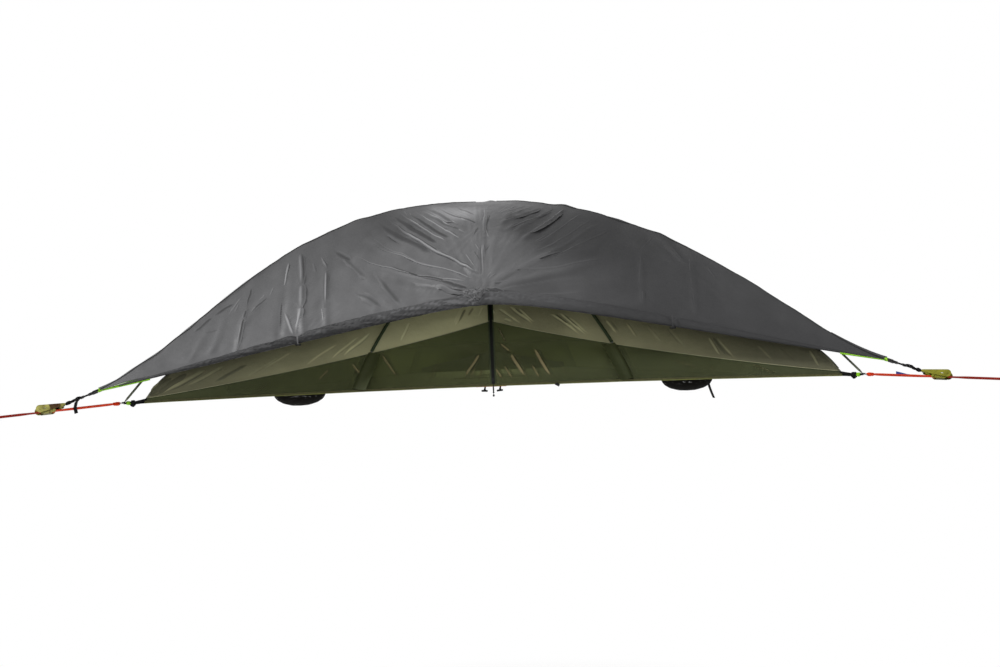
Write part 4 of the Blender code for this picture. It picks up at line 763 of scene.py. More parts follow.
# folds seen from the front: x, z, x, z, width, strength
canopyPleats = [
    (0.114, 0.452, 0.261, 0.331, 0.012, 0.9), (0.147, 0.44, 0.206, 0.38, 0.01, -0.6),
    (0.049, 0.441, 0.187, 0.339, 0.012, 0.7), (0.061, 0.417, 0.174, 0.353, 0.01, -0.5),
    (0.171, 0.439, 0.275, 0.336, 0.01, 0.5), (0.36, 0.401, 0.529, 0.266, 0.012, 0.8),
    (0.383, 0.397, 0.5, 0.294, 0.01, -0.7), (0.408, 0.404, 0.563, 0.26, 0.012, 0.7),
    (0.431, 0.392, 0.534, 0.293, 0.009, -0.6), (0.461, 0.377, 0.577, 0.265, 0.01, 0.4),
    (-0.166, 0.446, -0.22, 0.336, 0.012, 0.6), (-0.148, 0.447, -0.203, 0.356, 0.01, -0.6),
    (-0.101, 0.453, -0.14, 0.394, 0.01, -0.4), (-0.043, 0.455, -0.076, 0.391, 0.01, 0.3),
    (0.683, 0.352, 0.75, 0.258, 0.012, 0.5), (0.703, 0.344, 0.756, 0.264, 0.01, -0.4),
    (0.008, 0.446, 0.027, 0.408, 0.01, 0.5), (0.08, 0.378, 0.134, 0.359, 0.01, 0.4),
    (-0.481, 0.384, -0.553, 0.236, 0.011, 0.4), (-0.169, 0.454, -0.225, 0.354, 0.011, 0.5),
    (-0.711, 0.333, -0.903, 0.169, 0.012, 0.45), (-0.775, 0.312, -0.981, 0.156, 0.011, 0.3),
    (-0.901, 0.278, -1.129, 0.129, 0.012, 0.3), (-1.15, 0.242, -1.366, 0.124, 0.012, 0.35),
    (-1.22, 0.222, -1.458, 0.078, 0.012, 0.3), (-1.632, 0.163, -1.912, 0.017, 0.014, 0.6),
    (-1.736, 0.145, -1.941, 0.011, 0.016, -0.9), (-1.818, 0.126, -1.977, 0.002, 0.014, -0.9),
    (-1.526, 0.178, -1.765, 0.062, 0.012, 0.4), (-1.404, 0.183, -1.616, 0.078, 0.012, -0.35),
    (1.257, 0.234, 1.321, 0.112, 0.011, 0.45), (1.298, 0.228, 1.393, 0.097, 0.011, 0.4),
    (1.28, 0.229, 1.351, 0.111, 0.009, -0.6), (1.795, 0.143, 1.868, 0.006, 0.012, 0.4),
    (1.831, 0.13, 1.966, -0.012, 0.012, -0.6), (1.874, 0.11, 2.051, -0.017, 0.012, -0.8),
    (0.797, 0.334, 0.864, 0.225, 0.011, 0.45), (0.913, 0.317, 0.999, 0.197, 0.011, 0.3),
    (1.036, 0.289, 1.122, 0.177, 0.011, 0.25), (1.52, 0.178, 1.602, 0.075, 0.012, 0.25),
    (1.639, 0.151, 1.734, 0.048, 0.012, -0.3)]
wallFolds = {"front": 300, "others": 80, "rows": 24, "depth": 0.005,
             "waves": ((0.13, 9, 0.7, 0.6), (0.04, 11, 0.3, 0.4))}
wallPleats = [
    (0.047, 0.235, 0.115, 0.172, 0.012, 0.7), (0.109, 0.179, 0.202, 0.021, 0.014, 1),
    (0.248, 0.204, 0.353, 0.014, 0.014, 1), (-0.07, 0.183, -0.176, 0.022, 0.014, 0.8),
    (0.038, 0.34, 0.1, 0.21, 0.009, 0.45), (0.014, 0.1, 0.065, 0.018, 0.012, 0.6),
    (0.069, 0.111, 0.128, 0.015, 0.011, 0.55), (0.23, 0.112, 0.285, 0.011, 0.012, 0.55),
    (-0.1, 0.105, -0.137, 0.024, 0.011, 0.5), (-0.053, 0.096, -0.089, 0.022, 0.011, 0.45),
    (0.157, 0.121, 0.212, 0.014, 0.009, 0.35), (-0.823, 0.166, -0.717, 0.025, 0.012, 0.6),
    (-0.655, 0.221, -0.526, 0.029, 0.012, 0.55), (-0.947, 0.129, -1.028, 0.051, 0.011, 0.5),
    (-0.83, 0.128, -0.642, 0.034, 0.009, 0.35), (-1.304, 0.059, -1.385, 0.005, 0.01, 0.3),
    (-0.313, 0.146, -0.379, 0.019, 0.011, 0.35), (1.043, 0.103, 1.225, 0.042, 0.009, 0.3),
    (1.261, 0.073, 1.264, -0, 0.01, 0.3), (0.397, 0.119, 0.438, 0.018, 0.01, 0.3),
    (1.475, 0.066, 1.631, 0.005, 0.01, 0.3)]

# how light the front of each cloth is along x: the fly lets light in at the middle
canopyLight = ((-1.95, -0.55), (-1.55, -0.38), (-1.17, 0.0), (-0.87, 0.22), (-0.56, 0.38), (-0.31, 0.5),
               (-0.13, 0.6), (0.12, 0.2), (0.3, 0.0), (0.55, 0.22), (0.92, -0.2), (1.29, -0.5), (1.65, -0.75),
               (2.0, -0.55))
wallLight = ((-1.9, -0.1), (-1.5, 0.05), (-1.1, 0.26), (-0.3, 0.3), (0.1, 0.16), (0.5, 0.0), (1.0, -0.15),
             (1.8, -0.45))


# painted light and shade along x on the front panel, from the tables above
def frontPaintedLight(light, x, y):
    return np.interp(x, *zip(*light)) * (y < -0.3)


def columnsOf(cut):
    # each column round the tent: its place and foot, the seam's share of the way out, and if it is in front
    places = ringPlaces(cut["front"], cut["others"])
    feet = [footPoint(*place) for place in places]
    return places, feet, [seamOut(*place) for place in places], np.array([side == 0 for side, _ in places])


seamTubes = {"radius": 0.0018, "edgeShare": 0.997, "edgeRise": 0.0045}


def makeInnerTent():
    places, feet, outs, front = columnsOf(canopyFolds)
    rows, marks = [], []
    levels = np.concatenate([np.linspace(1, 0.8, 25), np.linspace(0.8, 0, canopyFolds["rows"] - 24)[1:]])
    for row in levels:
        rows.append([(foot[0] * out * row, foot[1] * out * row, canopyHeight(*place, out * row))
                     for place, foot, out in zip(places, feet, outs)])
        marks.append([(place[1] * floorEnd * out * row, row * 1.25) for place, out in zip(places, outs)])
    points = np.array(rows)
    # folds only go inwards, so the poles and the door tape stay clear of the cloth
    amount = -np.abs(waves(points, canopyFolds["waves"])) * canopyFolds["depth"]
    amount = amount * eased((1 - levels) * 16)[:, None]
    # painted light and shade along the canopy's front
    canopyPaintedLight = partial(frontPaintedLight, canopyLight)
    tints = canopyPaintedLight(points[..., 0], points[..., 1]) * front
    points = lifted(points, amount, True)
    canopy = makeSheet("innerCanopy", points, inner["thickness"], -1, np.array(marks), creases=tints)
    dressed(canopy, "canopy", "inner_canopy")

    places, feet, outs, front = columnsOf(wallFolds)
    rows, marks = [], []
    for row in np.linspace(0, 1, wallFolds["rows"] + 1):
        line, mark = [], []
        for place, foot, out in zip(places, feet, outs):
            top = np.array((out, seamHeight(place[1])))
            low = np.array((1, inner["footHeight"]))
            drop = 2 * touchGap + inner["thickness"] * place[1] ** 2
            top = top + (low - top) * drop / (top[1] - low[1])
            here = low + (top - low) * row
            line.append((foot[0] * here[0], foot[1] * here[0], here[1]))
            mark.append((place[1] * floorEnd, here[1]))
        rows.append(line)
        marks.append(mark)
    points = np.array(rows)
    lift = np.array([seamHeight(place[1]) for place in places])[None]
    amount = -np.abs(waves(points, wallFolds["waves"])) * wallFolds["depth"]
    level = np.linspace(0, 1, len(rows))[:, None]
    amount *= eased(level * 10) * eased((1 - level) * 10) * np.minimum(lift / 0.1, 1)
    # painted light and shade along the wall's front
    tints = frontPaintedLight(wallLight, points[..., 0], points[..., 1]) * front
    points = lifted(points, amount, True)
    wall = makeSheet("innerWall", points, inner["thickness"], -1, np.array(marks), creases=tints)
    dressed(wall, "wall", "inner_wall")

    # piping over the seam between the two cloths, and the canopy's turned edge above it, painted paler than
    # the canopy as a painted highlight
    seam = [(foot[0] * out, foot[1] * out, seamHeight(place[1]))
            for place, foot, out in zip(places, feet, outs)]
    dressed(makeTube("seamPiping", seam, seamTubes["radius"], 6, True), "sleeve")
    share = seamTubes["edgeShare"]
    above = [(x * share, y * share, z + seamTubes["edgeRise"]) for x, y, z in seam]
    dressed(makeTube("seamHighlightEdge", above, seamTubes["radius"], 6, True), "edge")
    makePleats("canopyPleats", canopy, canopyPleats, "canopy", tint=canopyPaintedLight, spread=1.8)
    makePleats("wallPleats", wall, wallPleats, "wallFold", strong=0.85, spread=2.0)


def lineUp(side, share, low, high, count, gap, more=0.0):
    # points and normals up the cloth at one share of a side, off the cloth by gap
    foot = np.array(footPoint(side, share))
    reach = np.linalg.norm(foot)
    outs = np.linspace(low, high, count)
    line = np.array([(reach * out, canopyHeight(side, share, out)) for out in outs])
    along = unit(np.gradient(line, axis=0))
    normal = np.stack([along[:, 1], -along[:, 0]], axis=1)
    normal *= np.sign(normal[:, 1:2])
    spread = (gap + more * outs)[:, None]
    line = line + normal * spread
    way = foot / reach
    points = np.stack([way[0] * line[:, 0], way[1] * line[:, 0], line[:, 1]], axis=1)
    normals = np.stack([way[0] * normal[:, 0], way[1] * normal[:, 0], normal[:, 1]], axis=1)
    return points, normals, np.array((-way[1], way[0], 0))


poleSleeve = {"width": 0.0138, "height": 0.0112, "growth": 0.0035, "top": 0.30, "thickness": 0.0008,
              "lift": 0.0012, "coverWidth": 0.16, "coverLift": 0.0006, "radius": 0.0049, "standoff": 0.0006}


def makeSleeves():
    steps = np.linspace(-1, 1, 13)
    for name, side, share in (("frontLeft", 0, -frontShare), ("frontRight", 0, frontShare),
                              ("sideRight", 1, rearShare), ("sideLeft", 2, -rearShare)):
        seam = seamOut(side, share)
        points, normals, across = lineUp(side, share, seam * 0.995, poleSleeve["top"], 60, 0)
        arch = np.exp(-(steps / 0.86) ** 8)
        height = poleSleeve["height"] + poleSleeve["growth"] * np.linspace(0.9, 0.3, 60)
        rows = (points[:, None] + across * (steps * poleSleeve["width"] / 2)[None, :, None]
                + normals[:, None] * (poleSleeve["lift"] + arch[None] * height[:, None])[..., None])
        dressed(makeSheet(f"poleSleeve_{name}", rows, poleSleeve["thickness"], 1), "sleeve")
        # below the seam the pole runs behind a strip of cloth like the wall's, painted darker than the wall as
        # painted shade
        foot = np.array(footPoint(side, share))
        reach = np.linalg.norm(foot)
        off = poleSleeve["radius"] + poleSleeve["standoff"]
        pole, _, _ = lineUp(side, share, seam * 0.98, 0.9999, 80, off, poleSleeve["growth"])
        pole = np.stack([np.linalg.norm(pole[:, :2], axis=1), pole[:, 2]], axis=1)
        low, high = np.array((reach, inner["footHeight"])), np.array((reach * seam, seamHeight(share)))
        rise = (high - low) / np.linalg.norm(high - low)
        out = np.array((rise[1], -rise[0]))
        arch = np.exp(-(steps / 0.36) ** 2)
        wide = steps * poleSleeve["coverWidth"] / 2
        rows = []
        for t in np.linspace(0.01, 0.995, 30):
            here = low + (high - low) * t
            nearest = pole[np.argmin(np.abs((pole - here) @ rise))]
            bulge = max((nearest - here) @ out, 0.004) + poleSleeve["radius"] + poleSleeve["lift"]
            strip = here + out * (poleSleeve["coverLift"] + arch[:, None] * bulge)
            plan = [strip[:, 0] * foot[i] / reach + wide * across[i] for i in (0, 1)]
            rows.append(np.stack([*plan, strip[:, 1]], axis=1))
        dressed(makeSheet(f"poleCover_{name}", rows, poleSleeve["thickness"], 1), "cover")


ridgeTape = {"width": 0.024, "from": 0.995, "to": 0.45, "lift": 0.0016, "thickness": 0.0010}


def canopyPoint(side, share, out):
    foot = footPoint(side, share)
    return (foot[0] * out, foot[1] * out, canopyHeight(side, share, out))


def makeRidgeTapes():
    # tape folded over each corner's seam in the canopy
    for name, before, after in (("left", 2, 0), ("right", 0, 1), ("rear", 1, 2)):
        rows = []
        for out in np.linspace(seamOut(after, -1) * ridgeTape["from"], ridgeTape["to"], 90):
            reach = ridgeTape["width"] / 2 / (floorEnd * out)
            row = [canopyPoint(before, 1 - reach * t, out) for t in (1, 0.66, 0.33)]
            rows.append(row + [canopyPoint(after, -1 + reach * t, out) for t in (0, 0.33, 0.66, 1)])
        points = lifted(np.array(rows), np.full((90, 7), ridgeTape["lift"]))
        dressed(makeSheet(f"ridgeTape_{name}", points, ridgeTape["thickness"], 1), "ridge")


# floor, hatch and the webbing under it

hatch = {"radius": 0.30, "clearance": 0.0015, "thickness": 0.0018, "zipInset": 0.012, "zipHeight": 0.0016,
         "zipRadius": 0.0022}
webbing = {"width": 0.025, "thickness": 0.002, "top": -0.0021, "armEnd": 2.14, "ledge": 0.008}
# inset from the floor's edge and drop of each row of the webbing, its outer half pulled down by the straps
webbingRows = ((0.0, 0.0032), (0.006, 0.0016), (0.013, 0.0004), (webbing["width"], 0.0))
binding = {"out": -0.0008, "heights": (-0.0058, -0.0016, 0.0024, 0.0060), "thickness": 0.0012,
           "pipingOut": -0.0020, "pipingHeight": -0.0068, "pipingRadius": 0.0021}


floorFolds = {"depth": 0.0035, "waves": ((0.22, 21, 0.7, 1), (0.07, 23, 0.3, 1))}


def triangleSide(radius, side, share):
    return turnedPoint(share * radius * cos30, -radius * sin30, 120 * side)


def floorEdge(side, share, inset=0.0):
    x = share * floorEnd
    y = edgeLine(x, floorCut)
    if inset:
        y += inset
        x = math.copysign(min(abs(x), -cos30 / sin30 * y), x)
    return turnedPoint(x, y, 120 * side)


def ringSheet(innerPlace, outerPlace, rows, columns, height=0.0):
    places = ringPlaces(columns, columns)
    lows, highs = [np.array([find(*place) for place in places]) for find in (innerPlace, outerPlace)]
    steps = np.linspace(1, 0, rows + 1)[:, None, None]
    plan = highs[None] * steps + lows[None] * (1 - steps)
    return np.concatenate([plan, np.full((*plan.shape[:2], 1), height)], axis=2)


def edgeSheet(profile):  # rows along the floor's edge, each with its inset and height
    places = ringPlaces(80, 80)
    return np.array([[(*floorEdge(*place, inset), height) for place in places] for inset, height in profile])


def makeStrip(name, points, thickness, side=-1):  # a sheet whose threads run along its rows
    return makeSheet(name, points, thickness, side, lengthMarks(points)[..., ::-1])


def makeFloor():
    points = ringSheet(partial(triangleSide, hatch["radius"]), floorEdge, 40, 90)
    edge = np.linspace(0, 1, 41)[:, None]  # 0 at the rim, 1 at the hatch
    clear = eased(edge * 14) * eased((1 - edge) * 14)
    x, y = points[..., 0], points[..., 1]
    arms = np.min([np.abs(x * -math.sin(turn) + y * math.cos(turn))
                   for turn in map(math.radians, corners.values())], axis=0)
    clear = clear * eased((arms - 0.02) / 0.06) * eased(np.abs(y - pocket["place"]) / 0.05)
    points[..., 2] += np.abs(waves(points, floorFolds["waves"])) * floorFolds["depth"] * clear
    floor = makeSheet("floorSheet", points, floorCut["thickness"], -1, points[..., :2])
    dressed(floor, "floor", "floor")

    radius = hatch["radius"] - 2 * hatch["clearance"]
    points = ringSheet(partial(triangleSide, 0), partial(triangleSide, radius), 14, 30)
    rise = np.linspace(0, 1, 15)[:, None]
    points[..., 2] += 0.004 * eased(rise * 2.2) + crinkle(points, 0.06, 31) * 0.0012 * eased(rise * 4)
    flap = makeSheet("hatchFlap", points, hatch["thickness"], -1, points[..., :2])
    dressed(flap, "floor", "hatch_flap", body="hatch")
    radius -= hatch["zipInset"]
    rim = [(*triangleSide(radius, *place), hatch["zipHeight"]) for place in ringPlaces(24, 24)]
    dressed(makeTube("hatchZip", rim, hatch["zipRadius"], 6, True), "zip", body="hatch")

    band = edgeSheet([(inset, webbing["top"] - drop) for inset, drop in webbingRows])
    dressed(makeStrip("edgeWebbing", band, webbing["thickness"]), "blackWebbing", "edge_webbing")
    edging = edgeSheet([(binding["out"], height) for height in binding["heights"]])
    dressed(makeStrip("floorBinding", edging, binding["thickness"], 1), "binding")
    line = [(*floorEdge(side, share, binding["pipingOut"]),
             binding["pipingHeight"] + 0.0010 * noise.noise(Vector((share * 9, side, 0))))
            for side, share in ringPlaces(160, 160)]
    dressed(makeTube("floorPiping", line, binding["pipingRadius"], 8, True), "piping")

    frameRadius = hatch["radius"] + 2 * webbing["width"] - 2 * webbing["ledge"]
    window = hatch["radius"] - 2 * webbing["ledge"]
    inside, outside = partial(triangleSide, window), partial(triangleSide, frameRadius)
    points = ringSheet(inside, outside, 3, 20, webbing["top"])
    ring = makeStrip("hatchFrameWebbing", points, webbing["thickness"])
    dressed(ring, "blackWebbing", "floor_cross_webbing")
    shoulder = frameRadius - webbing["width"] / 2 / math.tan(math.radians(30))
    level = webbing["top"] - webbing["thickness"] / 2
    for name, degrees in corners.items():
        spin = turnAbout("Z", degrees)
        path = carried(spin, [(x, 0, level) for x in np.linspace(shoulder, webbing["armEnd"], 60)])
        side = spin.to_3x3() @ Vector((0, 1, 0))
        arm = makeBand(f"crossArm_{name}", path, webbing["width"], webbing["thickness"], side)
        dressed(arm, "blackWebbing")


strapTail = {"place": 1.23, "length": 0.12, "width": 0.014, "thickness": 0.0016, "swing": 0.036, "points": 24}


def makeStrapTail():
    y = edgeLine(strapTail["place"], floorCut) + webbing["width"] / 2
    path = [(strapTail["place"], y, webbing["top"] - webbing["thickness"] / 2)]
    steps = np.linspace(0, 1, strapTail["points"])
    for step in steps[1:]:
        way = Vector((strapTail["swing"] * (0.6 + 0.8 * step), -0.012 * step, -strapTail["length"]))
        move = way.normalized() * strapTail["length"] / (strapTail["points"] - 1)
        path.append(tuple(Vector(path[-1]) + move))
    turn = [(math.cos(0.5 * step - 0.2), math.sin(0.5 * step - 0.2), 0) for step in steps]
    tail = makeBand("strapTail", path, strapTail["width"], strapTail["thickness"], turn)
    dressed(tail, "blackWebbing")


# door: tape up the wall with its coil, and the slider's pull

door = {"tapeWidth": 0.034, "tapeThickness": 0.0014, "standoff": 0.0014, "coilWidth": 0.017, "top": 0.734,
        "coilThickness": 0.0012, "coilCrown": -0.0007, "sliderLength": 0.022, "sliderThickness": 0.006,
        "sliderLift": 0.016, "pullDiameter": 0.003, "pullLength": 0.085, "pullFront": 0.005}
# lumps on the pull: share of the way up from its end, half sizes, seed
pullLumps = {"pullKnot": (0.04, (0.0060, 0.0052, 0.0070), 3), "pullBead": (0.36, (0.0050, 0.0042, 0.0056), 5),
             "pullGrip": (0.70, (0.0042, 0.0040, 0.0240), 7)}


def makeDoor():
    foot = Vector((0, footPoint(0, 0)[1], inner["footHeight"]))
    seam = seamOut(0, 0)
    wallTop = Vector((0, foot.y * seam, seamHeight(0)))
    rise = (wallTop - foot).normalized()
    normal = Vector((0, -rise.z, rise.y))
    off = door["standoff"] + door["tapeThickness"] / 2
    level, _, _ = lineUp(0, 0, seam, 0.2, 60, off)
    level = [Vector(point) for point in level if point[2] < door["top"]]
    start = foot + rise * door["standoff"] + normal * off
    bend = wallTop + normal * off
    path = resampled([start.lerp(bend, i / 30) for i in range(30)] + level[1:], 90)
    tape = makeBand("doorTape", path, door["tapeWidth"], door["tapeThickness"] * 0.9, (1, 0, 0), 6)
    dressed(tape, "tape", "door_zip_tape")
    path = resampled([Vector(point) + normal * door["coilThickness"] for point in path], 240)
    coil = makeBand("doorCoil", path, door["coilWidth"], door["coilThickness"], (1, 0, 0),
                    crown=door["coilCrown"])
    dressed(coil, "zip")

    # the pull hangs from the slider's lower end, over the floor's edge and straight down
    seat = foot + rise * (door["sliderLift"] + door["sliderLength"] / 2)
    seat += normal * (door["standoff"] + door["tapeThickness"] + touchGap + door["sliderThickness"] / 2)
    top = seat - rise * (door["sliderLength"] / 2 + touchGap)
    frontY = edgeLine(0, floorCut) - door["pullFront"]
    turn = top - rise * ((top.y - frontY) / rise.y)
    hang = door["pullLength"] - (top - turn).length
    before = turn + (top - turn).normalized() * 0.006
    after = turn - Vector((0, 0, 0.006))
    low = turn - Vector((0, 0, hang))
    corner = [before.lerp(turn, t).lerp(turn.lerp(after, t), t) for t in (0.25, 0.5, 0.75)]
    line = [top, top.lerp(before, 0.5), before, *corner, after]
    line += [after.lerp(low, i / 12) for i in range(1, 13)]
    scale = door["pullLength"] / sum((b - a).length for a, b in zip(line, line[1:]))
    line = [top + (point - top) * scale for point in line]
    cord = makeTube("pullCord", line, door["pullDiameter"] / 2, 10)
    knots = []
    for name, (share, half, seed) in pullLumps.items():
        knot = makeLump(name, Matrix.Translation(low.lerp(after, share)), half, 0.18, seed, 3, False)
        knots.append(dressed(knot, "blackWebbing", body="zip"))
    dressed(cord, "blackWebbing", "zip_pull_cord", body="zip")
    return cord, knots, top


# rain fly

flyCut = {"anchor": 2.56, "drawIn": 0.33, "tipWidth": 0.022}
fly = {"top": 1.127, "thickness": 0.0016, "tipHeight": 0.078, "hemHeight": 0.467, "hemRound": 0.12,
       "ridgeBulge": 1.15, "middleBulge": 0.5, "hemRoll": 0.013, "tipRoll": 0.003, "foldDepth": 0.009,
       "folds": 5, "seamRadius": 0.0026, "seamLift": 0.0004, "front": 296, "others": 70, "rows": 92}
ridgeSlack = {"left": -0.45, "right": 0.45, "rear": 0.0}
sideEnds = (("left", "right"), ("right", "rear"), ("rear", "left"))
flyEnd = edgeEnd(flyCut)
# folds seen on the front panel, in plan: x, y, x, y, width, height
flyFolds = [(-0.04, -0.80, -0.61, -0.39, 0.016, 0.016), (-0.22, -0.58, -0.54, -0.34, 0.012, 0.009),
            (-0.13, -0.58, -0.47, -0.29, 0.012, 0.009), (-0.11, -0.50, -0.37, -0.23, 0.010, 0.007),
            (-0.08, -0.84, -0.80, -0.52, 0.020, 0.010), (-0.10, -0.87, -0.97, -0.59, 0.024, 0.013),
            (-0.22, -0.84, -0.94, -0.63, 0.022, 0.007), (-0.55, -0.92, -0.82, -0.63, 0.022, 0.010),
            (-0.66, -0.92, -0.80, -0.72, 0.020, 0.008), (-1.08, -1.00, -1.12, -0.68, 0.018, 0.013),
            (-0.95, -0.98, -0.97, -0.65, 0.014, 0.012), (-1.22, -1.02, -1.19, -0.72, 0.016, -0.010),
            (-1.46, -1.09, -1.40, -0.84, 0.014, 0.009), (-1.43, -0.96, -1.31, -0.85, 0.014, 0.006),
            (-1.60, -1.08, -1.52, -0.92, 0.014, 0.007), (-1.72, -1.13, -1.62, -0.98, 0.012, 0.005),
            (0.21, -0.55, 0.50, -0.30, 0.012, 0.011), (0.10, -0.49, 0.27, -0.37, 0.010, 0.007),
            (0.08, -0.42, 0.38, -0.24, 0.010, 0.008), (0.15, -0.50, 0.44, -0.26, 0.010, 0.006),
            (0.02, -0.84, 0.52, -0.56, 0.020, 0.009), (0.04, -0.86, 0.73, -0.66, 0.020, 0.008),
            (0.03, -0.83, 0.32, -0.62, 0.016, 0.006), (0.88, -0.92, 0.91, -0.67, 0.014, 0.007),
            (1.18, -0.97, 1.20, -0.71, 0.014, 0.007), (1.17, -0.76, 1.04, -0.61, 0.014, 0.006),
            (0.90, -0.68, 1.04, -0.61, 0.014, 0.005)]
# places where the cloth is drawn together: x, y, reach, spokes, height
flyGathers = [(-0.06, -0.92, 0.62, 9, 0.0075), (-1.10, -1.05, 0.22, 6, 0.005),
              (1.035, -1.03, 0.16, 6, 0.0025), (-0.04, -0.46, 0.18, 7, 0.005)]
# soft painted light and painted shade patches, in plan: x, y, half widths, amount
flyShade = {"folds": 20, "gathers": 36,
            "patches": [(-0.60, -0.42, 0.24, 0.14, -0.45), (-0.90, -0.56, 0.25, 0.12, -0.22),
                        (-1.20, -0.70, 0.3, 0.1, -0.22), (-0.20, -0.29, 0.17, 0.10, 0.8),
                        (-0.95, -0.93, 0.3, 0.12, 0.16), (-1.45, -1.06, 0.25, 0.1, 0.2),
                        (0.24, -0.40, 0.17, 0.14, -0.75), (0.52, -0.50, 0.25, 0.16, -0.85),
                        (0.88, -0.58, 0.35, 0.13, -0.75), (0.32, -0.87, 0.30, 0.12, -0.45),
                        (1.25, -0.80, 0.35, 0.15, -0.3), (0.75, -0.90, 0.45, 0.08, 0.3)]}
# the upper edge of the turned hem on the right: share of the side, share of the way out
flyHemLine = ((-0.015, 0.925), (0.03, 0.936), (0.086, 0.942), (0.197, 0.946), (0.306, 0.951), (0.413, 0.957),
              (0.519, 0.96), (0.623, 0.963), (0.726, 0.964))
# where the poles and the apex push the cloth up: x, y, reach, height
flyBumps = [(0.485, -0.28, 0.05, 0.012), (1.04, -0.60, 0.05, 0.012), (0.03, -0.06, 0.03, 0.008),
            (-2.02, -1.17, 0.15, 0.017)]
